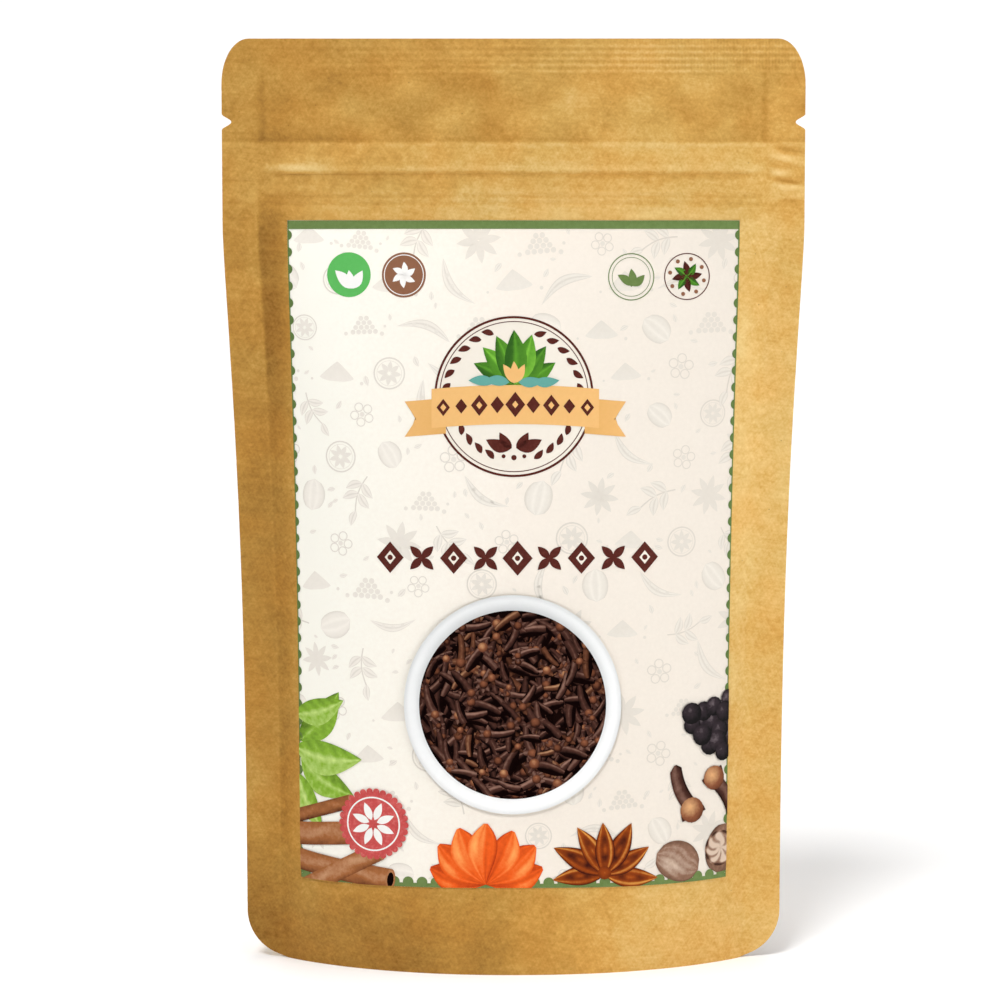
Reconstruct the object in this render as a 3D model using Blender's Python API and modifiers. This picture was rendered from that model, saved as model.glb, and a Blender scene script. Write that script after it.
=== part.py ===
"""A sealed stand-up pouch of kraft paper laminate, full of dry spice, with a paper label on its front.

The pouch stands on the floor, facing -Y, with its width along X. Its origin is on the floor, under its middle.
Two panels of paper are heat-sealed to each other down both sides and across the top. The sealed sides stay flat,
as fins, and the fill bows the paper between them outwards. Because the paper doesn't stretch, the pouch gets
narrower as it gets deeper. Underneath, a gusset is sealed between the panels along a line that dips in the
middle, so that the panels hang below it as a skirt.

A point of the paper is given by s, its distance from the middle along the paper, and by its height z.
"""

import math

import bmesh
import bpy
from mathutils import Vector

# The pouch, laid flat and standing. All lengths are in metres.
PANEL_WIDTH = 0.130
HEIGHT = 0.2085
SIDE_SEAL = 0.008
PAPER = 0.00025
TOP_CORNER = 0.008
BOTTOM_CORNER = 0.011
NOTCH_RADIUS = 0.002
NOTCH_HEIGHT = 0.190

# The bulge that the fill gives each panel. It draws the sides in, most of all near the floor.
SIDE_DRAWN_IN = 0.00437
BULGE_TOP = 0.167
BULGE_FULLNESS = 3.0
BULGE_ROUNDING = 0.6
SHOULDER_EASE = 0.074
SEAL_EASE = 0.0035

# How the slope across a panel grows towards the seals: 1 is a round section, more is one with a flatter middle.
SPREAD_AT_FLOOR = 1.2
SPREAD_ABOVE = 2.1
SPREAD_CHANGE = 0.050
SECTION_STEPS = 12

# The press-to-close zip, which shows as a ridge through the paper.
ZIP_HEIGHT = 0.179
ZIP_REACH = 0.0065
ZIP_RELIEF = 0.0007

# The gusset underneath.
SKIRT_LOW = 0.006
SKIRT_RISE = 0.030
SKIRT_CURVE = 2.5
GUSSET_SAG = 0.009
SLIT_HALF_WIDTH = 0.00015
BELOW_FLOOR = -0.005

# The label, and the gap that keeps its solid off the paper.
LABEL_WIDTH = 0.101
LABEL_BOTTOM = 0.0196
LABEL_TOP = 0.1678
LABEL_THICKNESS = 0.0003
LABEL_GAP = 0.0003

# How finely the curves are divided.
CORNER_SEGMENTS = 7
NOTCH_SIDES = 24
EASE_SAMPLES = 3
COLUMN_STEP = 0.0065
SEAM_STEP = 0.002
ROW_STEP = 0.009
SHOULDER_STEP = 0.004
ZIP_STEP = 0.00325
SAME_POINT = 0.00001

HALF_SHEET = PANEL_WIDTH / 2
HALF_BULGE = HALF_SHEET - SIDE_SEAL


def stations(low, high, step):
    """Evenly spaced positions from low to high, both included, no further apart than step."""
    count = math.ceil((high - low) / step - 1e-6)
    return [low + (high - low) * i / count for i in range(count + 1)]


def drawn_in(z):
    """How far each side is drawn in at height z."""
    share = min(max(z, 0.0) / BULGE_TOP, 1.0)
    full = (1 - share**BULGE_FULLNESS) ** BULGE_ROUNDING
    eased = math.hypot(full, SHOULDER_EASE) - SHOULDER_EASE
    return SIDE_DRAWN_IN * (eased / (math.hypot(1, SHOULDER_EASE) - SHOULDER_EASE)) ** 2


def spread(z):
    """How flat the middle of the section is at height z."""
    near_floor = max(0.0, 1 - max(z, 0.0) / SPREAD_CHANGE) ** 2
    return SPREAD_ABOVE + (SPREAD_AT_FLOOR - SPREAD_ABOVE) * near_floor


def section_point(s, z):
    """(x, depth) of the section at height z: paper that slopes more and more, between two flat fins."""
    power = spread(z)
    lean = 2 * (2 * power + 1) * drawn_in(z) / HALF_BULGE
    steepest = math.sqrt(lean * (1 + lean * (2 * power + 1) / (12 * (4 * power + 1))))
    reach = min(abs(s), HALF_BULGE)
    rest = HALF_BULGE - reach
    x = abs(s) - reach
    depth = 0.0
    for step in range(SECTION_STEPS):
        share = (step + 0.5) / SECTION_STEPS
        x += math.cos(steepest * (reach * share / HALF_BULGE) ** power) * reach / SECTION_STEPS
        depth += math.sin(steepest * ((reach + rest * share) / HALF_BULGE) ** power) * rest / SECTION_STEPS
    return math.copysign(x, s), depth


def zip_relief(s, z):
    """How far the zip lifts the paper. It is crushed flat in the side seals."""
    above = max(0.0, 1 - ((z - ZIP_HEIGHT) / ZIP_REACH) ** 2)
    inside = min(1.0, max(0.0, (HALF_BULGE - abs(s)) / SIDE_SEAL))
    return ZIP_RELIEF * above * inside


def panel_point(s, z):
    """A point on the outside of the front panel. The fold beside each seal is eased over a few millimetres."""
    steps = range(-EASE_SAMPLES, EASE_SAMPLES + 1)
    near = [section_point(s + SEAL_EASE * step / EASE_SAMPLES, z) for step in steps]
    x = sum(point[0] for point in near) / len(near)
    depth = sum(point[1] for point in near) / len(near)
    return Vector((x, -(depth + PAPER + zip_relief(s, z)), z))


def panel_normal(s, z):
    """The outward direction of the front panel at a point of the paper."""
    across = panel_point(s + SEAM_STEP, z) - panel_point(s - SEAM_STEP, z)
    upward = panel_point(s, z + SEAM_STEP) - panel_point(s, z - SEAM_STEP)
    return across.cross(upward).normalized()


def skirt_height(s):
    """How high above the floor the gusset is sealed to a panel."""
    return SKIRT_LOW + SKIRT_RISE * (abs(s) / HALF_BULGE) ** SKIRT_CURVE


def gusset_height(s, share):
    """The height of the gusset. share is 0 at its fold and 1 or -1 where it is sealed to a panel."""
    sag = GUSSET_SAG * (1 - (s / HALF_BULGE) ** 2) * (1 - share**2)
    return skirt_height(s) - sag


def collection(name):
    """A new collection in the scene."""
    made = bpy.data.collections.new(name)
    bpy.context.scene.collection.children.link(made)
    return made


def material(name, colour, roughness):
    """A Principled material of a paper finish."""
    made = bpy.data.materials.new(name)
    made.use_nodes = True
    shader = made.node_tree.nodes["Principled BSDF"]
    shader.inputs["Base Color"].default_value = (*colour, 1.0)
    shader.inputs["Roughness"].default_value = roughness
    shader.inputs["Metallic"].default_value = 0.0
    return made


def add_object(name, bm, where, finish=None):
    """Turns a bmesh into an object of the collection given."""
    bmesh.ops.remove_doubles(bm, verts=bm.verts, dist=SAME_POINT)
    bmesh.ops.recalc_face_normals(bm, faces=bm.faces)
    mesh = bpy.data.meshes.new(name)
    bm.to_mesh(mesh)
    bm.free()
    made = bpy.data.objects.new(name, mesh)
    where.objects.link(made)
    if finish:
        mesh.materials.append(finish)
        mesh.shade_smooth()
        mesh.set_sharp_from_angle(angle=math.radians(40))
    return made


def flat_sheet(low, high):
    """A flat rectangle with s along X and the height along Y, as a bmesh."""
    bm = bmesh.new()
    bmesh.ops.create_grid(bm, x_segments=1, y_segments=1, size=0.5)
    for vert in bm.verts:
        vert.co.x = high[0] if vert.co.x > 0 else low[0]
        vert.co.y = high[1] if vert.co.y > 0 else low[1]
    return bm


def slice_at(bm, axis, positions):
    """Cuts the faces along planes square to an axis."""
    normal = Vector([float(i == axis) for i in range(3)])
    for position in positions:
        everything = [*bm.verts, *bm.edges, *bm.faces]
        bmesh.ops.bisect_plane(bm, geom=everything, plane_co=normal * position, plane_no=normal, dist=SAME_POINT)


def round_corner(bm, height, radius):
    """Rounds the corner of the flat sheet that lies on the side seal at that height."""
    corner = min(bm.verts, key=lambda vert: abs(vert.co.x - HALF_SHEET) + abs(vert.co.y - height))
    bmesh.ops.bevel(
        bm, geom=[corner], offset=radius, segments=CORNER_SEGMENTS, profile=0.5, affect="VERTICES"
    )


def quarter_of_pouch():
    """The right half of the front panel, with the rim that takes it back to the middle plane."""
    bm = flat_sheet((0, 0), (HALF_SHEET, HEIGHT))
    round_corner(bm, HEIGHT, TOP_CORNER)
    round_corner(bm, 0, BOTTOM_CORNER)
    slice_at(bm, 0, stations(0, HALF_BULGE - SIDE_SEAL, COLUMN_STEP))
    slice_at(bm, 0, stations(HALF_BULGE - SIDE_SEAL, HALF_BULGE + SEAM_STEP, SEAM_STEP))
    shoulder = BULGE_TOP - 2 * ROW_STEP
    slice_at(bm, 1, stations(0, shoulder, ROW_STEP))
    slice_at(bm, 1, stations(shoulder, BULGE_TOP, SHOULDER_STEP))
    slice_at(bm, 1, stations(ZIP_HEIGHT - ZIP_REACH, ZIP_HEIGHT + ZIP_REACH, ZIP_STEP))
    rim = [edge for edge in bm.edges if edge.is_boundary and any(vert.co.x > SAME_POINT for vert in edge.verts)]
    for vert in bm.verts:
        vert.co = panel_point(vert.co.x, vert.co.y)
    extruded = bmesh.ops.extrude_edge_only(bm, edges=rim)
    for vert in extruded["geom"]:
        if isinstance(vert, bmesh.types.BMVert):
            vert.co.y = 0
    return bm


def gusset_recess(cutters):
    """The space under the gusset, between the skirts. Where the gusset lies on the floor, it cuts nothing."""
    bm = bmesh.new()
    bmesh.ops.create_cube(bm, size=2)
    slice_at(bm, 0, stations(-1, 1, 1 / 14))
    slice_at(bm, 1, stations(-1, 1, 1 / 6))
    slice_at(bm, 2, stations(-1, 1, 0.5))
    for vert in bm.verts:
        s = vert.co.x * (HALF_BULGE - PAPER)
        share = vert.co.y
        z = BELOW_FLOOR + (gusset_height(s, share) - BELOW_FLOOR) * (vert.co.z + 1) / 2
        wall = panel_point(s, max(z, 0.0))
        half_width = max(-wall.y - 2 * PAPER, SLIT_HALF_WIDTH)
        vert.co = (wall.x, share * half_width, z)
    return add_object("gusset_recess", bm, cutters)


def tear_notch(side, cutters):
    """The round nick in a side seal that starts a tear."""
    bm = bmesh.new()
    bmesh.ops.create_cone(
        bm, cap_ends=True, segments=NOTCH_SIDES, radius1=NOTCH_RADIUS, radius2=NOTCH_RADIUS, depth=SIDE_SEAL
    )
    made = add_object(f"tear_notch_{side:+d}", bm, cutters)
    made.location = (side * HALF_SHEET, 0, NOTCH_HEIGHT)
    made.rotation_euler = (math.pi / 2, 0, 0)
    return made


def cut(target, cutter):
    """Takes the cutter out of the target, and keeps it out of the model."""
    cutter.hide_render = True
    cutter.display_type = "WIRE"
    modifier = target.modifiers.new(f"cut {cutter.name}", "BOOLEAN")
    modifier.operation = "DIFFERENCE"
    modifier.solver = "EXACT"
    modifier.object = cutter


def pouch(parts, cutters, finish):
    """The sealed, full pouch, which can't be seen into and so is solid."""
    made = add_object("pouch", quarter_of_pouch(), parts, finish)
    mirror = made.modifiers.new("other quarters", "MIRROR")
    mirror.use_axis = (True, True, False)
    mirror.merge_threshold = SAME_POINT
    cut(made, gusset_recess(cutters))
    for side in (-1, 1):
        cut(made, tear_notch(side, cutters))
    return made


def label(parts, finish):
    """The paper label, which follows the front panel."""
    half = LABEL_WIDTH / 2
    bm = flat_sheet((-half, LABEL_BOTTOM), (half, LABEL_TOP))
    slice_at(bm, 0, stations(-half, half, COLUMN_STEP))
    shoulder = BULGE_TOP - 2 * ROW_STEP
    slice_at(bm, 1, stations(LABEL_BOTTOM, shoulder, ROW_STEP))
    slice_at(bm, 1, stations(shoulder, LABEL_TOP, SHOULDER_STEP))
    for vert in bm.verts:
        s, z = vert.co.x, vert.co.y
        vert.co = panel_point(s, z) + LABEL_GAP * panel_normal(s, z)
    made = add_object("label", bm, parts, finish)
    thickness = made.modifiers.new("paper thickness", "SOLIDIFY")
    thickness.thickness = LABEL_THICKNESS
    thickness.offset = 1
    return made


def main():
    for leftover in list(bpy.data.objects):
        bpy.data.objects.remove(leftover)
    parts = collection("stand_up_pouch")
    cutters = collection("cutters")
    kraft = material("brown kraft laminate", (0.60, 0.39, 0.14), 0.62)
    label_stock = material("uncoated cream label paper", (0.96, 0.92, 0.84), 0.55)
    pouch(parts, cutters, kraft)
    label(parts, label_stock)


main()
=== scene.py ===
import collections
import math
import random

import bpy
import numpy as np
from mathutils import Matrix, Vector, noise


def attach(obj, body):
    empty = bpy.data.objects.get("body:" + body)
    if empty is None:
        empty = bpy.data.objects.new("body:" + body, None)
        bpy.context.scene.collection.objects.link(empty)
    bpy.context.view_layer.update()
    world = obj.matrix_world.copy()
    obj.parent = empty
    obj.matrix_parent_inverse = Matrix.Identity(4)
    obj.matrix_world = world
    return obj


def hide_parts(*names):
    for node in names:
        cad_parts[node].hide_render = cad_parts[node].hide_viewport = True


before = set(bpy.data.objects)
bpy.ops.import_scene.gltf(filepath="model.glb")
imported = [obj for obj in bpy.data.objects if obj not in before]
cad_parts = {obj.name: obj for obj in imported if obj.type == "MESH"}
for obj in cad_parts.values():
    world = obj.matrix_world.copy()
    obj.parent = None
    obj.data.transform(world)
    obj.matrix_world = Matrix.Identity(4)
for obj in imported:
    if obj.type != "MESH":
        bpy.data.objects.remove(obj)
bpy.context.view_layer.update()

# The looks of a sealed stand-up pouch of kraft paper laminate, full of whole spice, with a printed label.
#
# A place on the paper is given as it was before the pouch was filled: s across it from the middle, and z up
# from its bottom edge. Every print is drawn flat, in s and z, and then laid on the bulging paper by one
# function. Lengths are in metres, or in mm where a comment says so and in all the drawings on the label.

MM = 0.001

# The pouch, as in the part's source, with top corners that reach further down the sides than across.
PANEL_WIDTH = 130 * MM
HEIGHT = 208.5 * MM
SIDE_SEAL = 8 * MM
PAPER = 0.25 * MM
TOP_CORNER = 10.2 * MM
TOP_CORNER_ACROSS = 6.1 * MM
BOTTOM_CORNER = 11 * MM
NOTCH_DEPTH = 2.15 * MM
NOTCH_HALF_HEIGHT = 1.85 * MM
NOTCH_HEIGHT = 190 * MM
SIDE_DRAWN_IN = 4.37 * MM
BULGE_TOP = 167 * MM
BULGE_FULLNESS = 3.0
BULGE_ROUNDING = 0.6
SHOULDER_EASE = 0.074
SEAL_EASE = 1.25 * MM
SPREAD_AT_FLOOR = 1.2
SPREAD_ABOVE = 2.1
SPREAD_CHANGE = 50 * MM
SKIRT_LOW = 6 * MM
SKIRT_RISE = 30 * MM
SKIRT_CURVE = 2.5
GUSSET_SAG = 9 * MM
SLIT_HALF_WIDTH = 0.15 * MM
BELOW_FLOOR = -5 * MM
LABEL_WIDTH = 101 * MM
LABEL_BOTTOM = 19.6 * MM
LABEL_TOP = 168.15 * MM

HALF_SHEET = PANEL_WIDTH / 2
HALF_BULGE = HALF_SHEET - SIDE_SEAL
HALF_LABEL = LABEL_WIDTH / 2

# The zip and the header seal as seen through the paper: height against how far the paper stands out.
ZIP_PROFILE = (
    (161.0, 0.0), (169.5, 0.40), (171.2, 0.50), (171.95, 0.24), (172.7, 0.52), (173.5, 0.28), (174.4, 0.60),
    (177.5, 0.64), (178.4, 0.44), (179.4, 1.06), (180.9, 0.98), (184.7, 0.22), (185.7, 0.0),
)
RIB_HEIGHTS = (206.9, 205.5, 204.1, 202.7, 201.3)
LOWEST_DEEP_RIB = 203.5
THINNEST = -0.17

# How the label lies on the paper: its back, its front, and the thickness of one print over another.
LABEL_BACK = 0.05 * MM
LABEL_FRONT = 0.20 * MM
INK = 0.012 * MM

# The mesh of the paper, as stretches from, to and step, in mm. It is finest where the seals begin, at the zip
# and at the ribs.
MIDDLE_COLUMNS = (-52, 52, 1.6)
SIDE_COLUMNS = ((52.8, 58.8, 0.35), (60, 63, 1.5))
ROWS = ((1.5, 167, 1.7), (167.5, 187.2, 0.38), (188.6, 199.6, 1.4), (200, 208, 0.28))
LABEL_CELL = 1.5
SMOOTH_UNDER = math.radians(38)


# Shape of the paper.


def spread(z):
    """How flat the middle of the section is at height z."""
    near_floor = max(0.0, 1 - max(z, 0.0) / SPREAD_CHANGE) ** 2
    return SPREAD_ABOVE + (SPREAD_AT_FLOOR - SPREAD_ABOVE) * near_floor


def drawn_in(z):
    """How far each side is drawn in at height z."""
    share = min(max(z, 0.0) / BULGE_TOP, 1.0)
    full = (1 - share**BULGE_FULLNESS) ** BULGE_ROUNDING
    eased = math.hypot(full, SHOULDER_EASE) - SHOULDER_EASE
    return SIDE_DRAWN_IN * (eased / (math.hypot(1, SHOULDER_EASE) - SHOULDER_EASE)) ** 2


TABLE_STEP = 0.5 * MM
TABLE_ROW = 1.0 * MM
TABLE_ROWS = 215
TABLE_REACH = 70 * MM


def section_table():
    """x and depth of the paper for every half millimetre across and every millimetre up."""
    fine = TABLE_STEP / 4
    across = np.arange(0, TABLE_REACH + SEAL_EASE + fine, fine)
    xs, depths = [], []
    window = int(round(2 * SEAL_EASE / fine)) + 1
    for row in range(TABLE_ROWS):
        z = row * TABLE_ROW
        power = spread(z)
        lean = 2 * (2 * power + 1) * drawn_in(z) / HALF_BULGE
        steepest = math.sqrt(lean * (1 + lean * (2 * power + 1) / (12 * (4 * power + 1))))
        middle = across[:-1] + fine / 2
        slope = np.where(middle < HALF_BULGE, steepest * (middle / HALF_BULGE) ** power, 0.0)
        x = np.concatenate([[0], np.cumsum(np.cos(slope)) * fine])
        depth = np.concatenate([[0], np.cumsum(np.sin(slope)) * fine])
        depth = depth[-1] - depth
        whole_x = np.concatenate([-x[:0:-1], x])
        whole_depth = np.concatenate([depth[:0:-1], depth])
        box = np.ones(window) / window
        eased_x = np.convolve(whole_x, box, mode="same")[len(x) - 1 :]
        eased_depth = np.convolve(whole_depth, box, mode="same")[len(x) - 1 :]
        keep = int(round(TABLE_REACH / fine))
        xs.append(eased_x[:keep:4])
        depths.append(eased_depth[:keep:4])
    return np.array(xs), np.array(depths)


SECTION_X, SECTION_DEPTH = section_table()


def section(s, z):
    """(x, depth) of the smooth paper at a place on it."""
    u = min(abs(s) / TABLE_STEP, SECTION_X.shape[1] - 1.001)
    v = min(max(z / TABLE_ROW, 0.0), TABLE_ROWS - 1.001)
    i, j = int(u), int(v)
    a, b = u - i, v - j
    low, high = SECTION_X[j], SECTION_X[j + 1]
    x = (low[i] * (1 - a) + low[i + 1] * a) * (1 - b) + (high[i] * (1 - a) + high[i + 1] * a) * b
    low, high = SECTION_DEPTH[j], SECTION_DEPTH[j + 1]
    depth = (low[i] * (1 - a) + low[i + 1] * a) * (1 - b) + (high[i] * (1 - a) + high[i + 1] * a) * b
    return math.copysign(x, s), depth


def smooth_step(value, low, high):
    """0 below low and 1 above high, with a soft change between them."""
    t = min(max((value - low) / (high - low), 0.0), 1.0)
    return t * t * (3 - 2 * t)


def stretch(value, start, full, fading, end):
    """1 from full to fading, and 0 before start and after end, with a soft change between them."""
    return smooth_step(value, start, full) * (1 - smooth_step(value, fading, end))


def hump(value, middle, width):
    """1 at the middle, falling softly away on both sides of it."""
    return math.exp(-(((value - middle) / width) ** 2))


def along_profile(profile, height):
    """The soft curve through a list of (height, value) points, both in mm."""
    if height <= profile[0][0] or height >= profile[-1][0]:
        return 0.0
    for (low, before), (high, after) in zip(profile, profile[1:]):
        if height <= high:
            return before + (after - before) * smooth_step(height, low, high)
    return 0.0


def crease(s, z, start, end, width):
    """A soft ridge between two places, all in mm, 1 at its crest."""
    along = Vector(end) - Vector(start)
    place = Vector((s, z)) - Vector(start)
    t = min(max(place.dot(along) / along.length_squared, 0.0), 1.0)
    gap = (place - along * t).length / width
    return math.exp(-gap * gap) * math.sin(math.pi * min(max(t, 0.06), 0.94))


def sway(s, z):
    """How far the whole sheet, front and back together, leans out of its plane."""
    wave = noise.noise(Vector((s / (38 * MM), z / (46 * MM), 2.7)))
    sealed = max(smooth_step(z, 182 * MM, 187 * MM), smooth_step(abs(s), HALF_BULGE - MM, HALF_BULGE + MM))
    cockle = noise.noise(Vector((s / (13 * MM), z / (11 * MM), 8.1)))
    return 0.30 * MM * wave + 0.16 * MM * sealed * cockle


# Creases of the front panel, most of them in its side seals: from, to, width and height, in mm.
CREASES = (
    ((56.6, 185.0), (65.5, 182.8), 0.75, -0.34),
    ((56.0, 183.0), (65.5, 180.9), 1.10, 0.42),
    ((56.5, 179.0), (62.5, 178.6), 0.90, 0.50),
    ((56.8, 177.6), (65.5, 176.0), 0.50, -0.42),
    ((57.2, 176.4), (65.5, 174.9), 0.90, 0.26),
    ((57.2, 172.8), (65.6, 172.5), 0.35, -0.20),
    ((-65.5, 176.7), (-57.8, 177.0), 0.35, -0.20),
    ((-65.5, 172.2), (-57.2, 171.8), 0.35, -0.16),
    ((-65.5, 168.4), (-57.2, 168.6), 0.35, -0.14),
    ((-55.0, 180.2), (-42.0, 179.8), 0.90, 0.22),
    ((-52.0, 177.0), (-44.0, 177.6), 1.60, -0.20),
)


def rib_strength(across, rib):
    """How deep the jaws pressed a rib: deeper to the right, but not the lower ribs near the edge."""
    eased = 0.75 * smooth_step(across, 40, 53) * (rib < LOWEST_DEEP_RIB)
    return smooth_step(across, -45, 30) * (1 - eased)


def relief(s, z, side):
    """How far a panel's paper stands out from its smooth shape, by its zip, seals, creases and cockle."""
    across, up = s / MM, z / MM
    bulging = smooth_step(HALF_BULGE - abs(s), 0.0, 6 * MM)
    height = along_profile(ZIP_PROFILE, up) * bulging
    for rib in RIB_HEIGHTS:
        height += (0.04 + 0.10 * rib_strength(across * side, rib)) * hump(up, rib, 0.40)
    height -= 0.05 * stretch(up, 184.5, 186.5, 199, 204) * hump(abs(across), 56.3, 0.85)
    height -= 0.08 * stretch(up, 185.2, 186.0, 206, 208)
    if side > 0:
        for start, end, width, rise in CREASES:
            height += rise * crease(across, up, start, end, width)
    stiff = smooth_step(HALF_LABEL / MM - abs(across), -3, 0) * smooth_step(LABEL_TOP / MM - up, -2, 1)
    loose = 1 - 0.85 * stiff * (side > 0)
    sealed = max(smooth_step(up, 182, 187), 1 - bulging)
    height += 0.22 * loose * (1 - 0.8 * sealed) * noise.noise(Vector((across / 15, up / 13, 4.0 * side)))
    height += 0.05 * max(0.0, 2 * loose - 1) * noise.noise(Vector((across / 5.0, up / 4.0, 9.0 * side)))
    return max(height, THINNEST) * MM


# Painted highlights and shade along the lines that the seal and the zip leave on the paper: height and width
# in mm, and how much paler they are.
SEAL_EDGE_SHADING = ((185.9, 0.7, -0.07), (185.0, 0.6, 0.08))
ZIP_RIDGE_SHADING = ((179.7, 0.9, 0.10), (178.35, 0.65, -0.10), (173.5, 0.50, -0.09), (171.9, 0.50, -0.08))


def seal_zip_shading_and_mottle(across, up, side):
    """Painted highlights and shade where the sealer's jaws and the zip press the paper, and a darker, mottled
    header.
    """
    value = -0.085 * smooth_step(up, 185.3, 185.9)
    # Painted shade just above the seal's edge, and a painted highlight just below it.
    for line, width, change in SEAL_EDGE_SHADING:
        value += change * hump(up, line, width)
    # Painted highlights on the zip's ridges, and painted shade in its grooves.
    filled_width = smooth_step(HALF_BULGE / MM - abs(across), 0, 3)
    for line, width, change in ZIP_RIDGE_SHADING:
        value += change * filled_width * hump(up, line, width)
    header = stretch(up, 184.5, 186.5, 198, 203)
    # Painted shade in the seal line down each side of the header.
    value -= 0.11 * header * hump(abs(across), 56.0, 0.8)
    value += 0.15 * header * noise.noise(Vector((across / 9.5, up / 7.0, 3.0 + side)))
    # A painted highlight on each rib, and painted shade just below it.
    for rib in RIB_HEIGHTS:
        strength = 0.02 + 0.09 * rib_strength(across * side, rib)
        value += strength * (hump(up, rib, 0.35) - 0.5 * hump(up, rib - 0.7, 0.35))
    return value


def crease_highlight_and_shade(across, up):
    """Painted highlights on the crests of the front panel's creases, and painted shade in their hollows."""
    value = sum(
        0.62 * rise * crease(across, up, start, end, width * 0.8) for start, end, width, rise in CREASES
    )
    # Painted highlights left of the zip, and on a patch of the right seal.
    value += 0.08 * crease(across, up, (-55.5, 180.8), (-38.0, 180.0), 1.9)
    value += 0.10 * crease(across, up, (-60.0, 178.6), (-40.0, 178.4), 3.2)
    return value + 0.10 * smooth_step(across, 57.0, 57.6) * stretch(up, 172.4, 172.8, 175.6, 176.6)


def painted_light_and_shade(across, up, side):
    """Painted light and shade across a panel: paler to the right, darker by its left seal and at its lower
    left.
    """
    left, right = -across * side, across * side
    filled = 1 - smooth_step(up, 166, 176)
    low = 1 - smooth_step(up, 6, 32)
    # Painted light towards the right, and a little darker below the zip.
    value = 0.17 * smooth_step(right, -65, 65) - 0.075 - 0.02 * filled
    # Painted shade along the left margin and on the left seal.
    value -= 0.18 * filled * (0.3 + 0.7 * smooth_step(up, 8, 40)) * stretch(left, 48, 56.5, 56.8, 57.6)
    value -= 0.17 * hump(up, 150, 26) * stretch(left, 49, 53, 56.4, 57.4)
    value -= (0.07 + 0.10 * hump(up, 100, 36)) * filled * smooth_step(left, 56.5, 58)
    # A painted sheen on the right margin.
    value += 0.08 * hump(up, 112, 38) * smooth_step(right, 46, 53)
    value -= 0.03 * filled * smooth_step(right, 55.5, 57.0)
    # Painted shade at the lower left, and a little painted light at the lower right.
    value -= 0.26 * low * (1 - smooth_step(right, -16, 40))
    value += 0.025 * low * smooth_step(right, -10, 30)
    # Painted shade at the upper right, above the label.
    value -= 0.08 * smooth_step(up, 168, 173) * smooth_step(right, 15, 60)
    # Painted light on the band just above the label.
    return value + 0.10 * stretch(up, 166, 169, 173.5, 176) * (1 - smooth_step(abs(across), 34, 52))


def painted_shading_and_mottle(s, z, side):
    """How much paler (above 0) or darker (below 0) a panel is painted: painted light and shade, and a darker,
    mottled header.
    """
    across, up = s / MM, z / MM
    value = seal_zip_shading_and_mottle(across, up, side) + painted_light_and_shade(across, up, side)
    if side > 0:
        value += crease_highlight_and_shade(across, up)
    return value


def paper(s, z, side):
    """A point on the outside of the front panel (side 1) or the back panel (side -1)."""
    x, depth = section(s, z)
    return Vector((x, sway(s, z) - side * (depth + PAPER + relief(s, z, side)), z))


def skirt_height(s):
    """How high above the floor the gusset is sealed to a panel."""
    return SKIRT_LOW + SKIRT_RISE * (abs(s) / HALF_BULGE) ** SKIRT_CURVE


def gusset_height(s, share):
    """The height of the gusset. share is 0 at its fold and 1 or -1 where it is sealed to a panel."""
    sag = GUSSET_SAG * (1 - (s / HALF_BULGE) ** 2) * (1 - share**2)
    wrinkle = 0.25 * MM * noise.noise(Vector((s / (9 * MM), share * 2.5, 1.3)))
    return skirt_height(s) - sag + wrinkle


LAY_STEP = 0.5 * MM
LAY_FROM = (-HALF_LABEL - 2 * LAY_STEP, LABEL_BOTTOM - 2 * LAY_STEP)


def label_table():
    """Points of the paper under the label and the directions square to it, for every half millimetre."""
    columns = int(LABEL_WIDTH / LAY_STEP) + 6
    rows = int((LABEL_TOP - LABEL_BOTTOM) / LAY_STEP) + 6
    lines = [LAY_FROM[1] + j * LAY_STEP for j in range(rows)]
    points = np.array([[paper(LAY_FROM[0] + i * LAY_STEP, z, 1) for i in range(columns)] for z in lines])
    outward = np.cross(np.gradient(points, axis=1), np.gradient(points, axis=0))
    outward /= np.linalg.norm(outward, axis=2, keepdims=True)
    return points, outward


LAY_POINTS, LAY_OUTWARD = label_table()


def lay_on_label(piece, lift):
    """Lays a piece that is drawn flat, in s and z, on the front panel, that far out from the paper."""
    flat = np.empty(len(piece.data.vertices) * 3)
    piece.data.vertices.foreach_get("co", flat)
    flat = flat.reshape(-1, 3)
    u = np.clip((flat[:, 0] - LAY_FROM[0]) / LAY_STEP, 0, LAY_POINTS.shape[1] - 1.001)
    v = np.clip((flat[:, 1] - LAY_FROM[1]) / LAY_STEP, 0, LAY_POINTS.shape[0] - 1.001)
    i, j = u.astype(int), v.astype(int)
    a, b = (u - i)[:, None], (v - j)[:, None]
    laid = []
    for table in (LAY_POINTS, LAY_OUTWARD):
        low = table[j, i] * (1 - a) + table[j, i + 1] * a
        high = table[j + 1, i] * (1 - a) + table[j + 1, i + 1] * a
        laid.append(low * (1 - b) + high * b)
    placed_at = laid[0] + laid[1] * (lift + flat[:, 2:3])
    piece.data.vertices.foreach_set("co", placed_at.ravel())
    piece.data.update()


# Working by hand.


def only(piece):
    """Selects one piece alone."""
    bpy.ops.object.select_all(action="DESELECT")
    piece.select_set(True)
    bpy.context.view_layer.objects.active = piece


def select_in(piece, kind, wanted):
    """Selects the vertices or edges of a piece that the test wants, and nothing else of it."""
    mesh = piece.data
    for group in (mesh.vertices, mesh.edges, mesh.polygons):
        group.foreach_set("select", [False] * len(group))
    for element in mesh.vertices if kind == "VERT" else mesh.edges:
        element.select = bool(wanted(element))
    bpy.context.tool_settings.mesh_select_mode = (kind == "VERT", kind == "EDGE", False)


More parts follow.
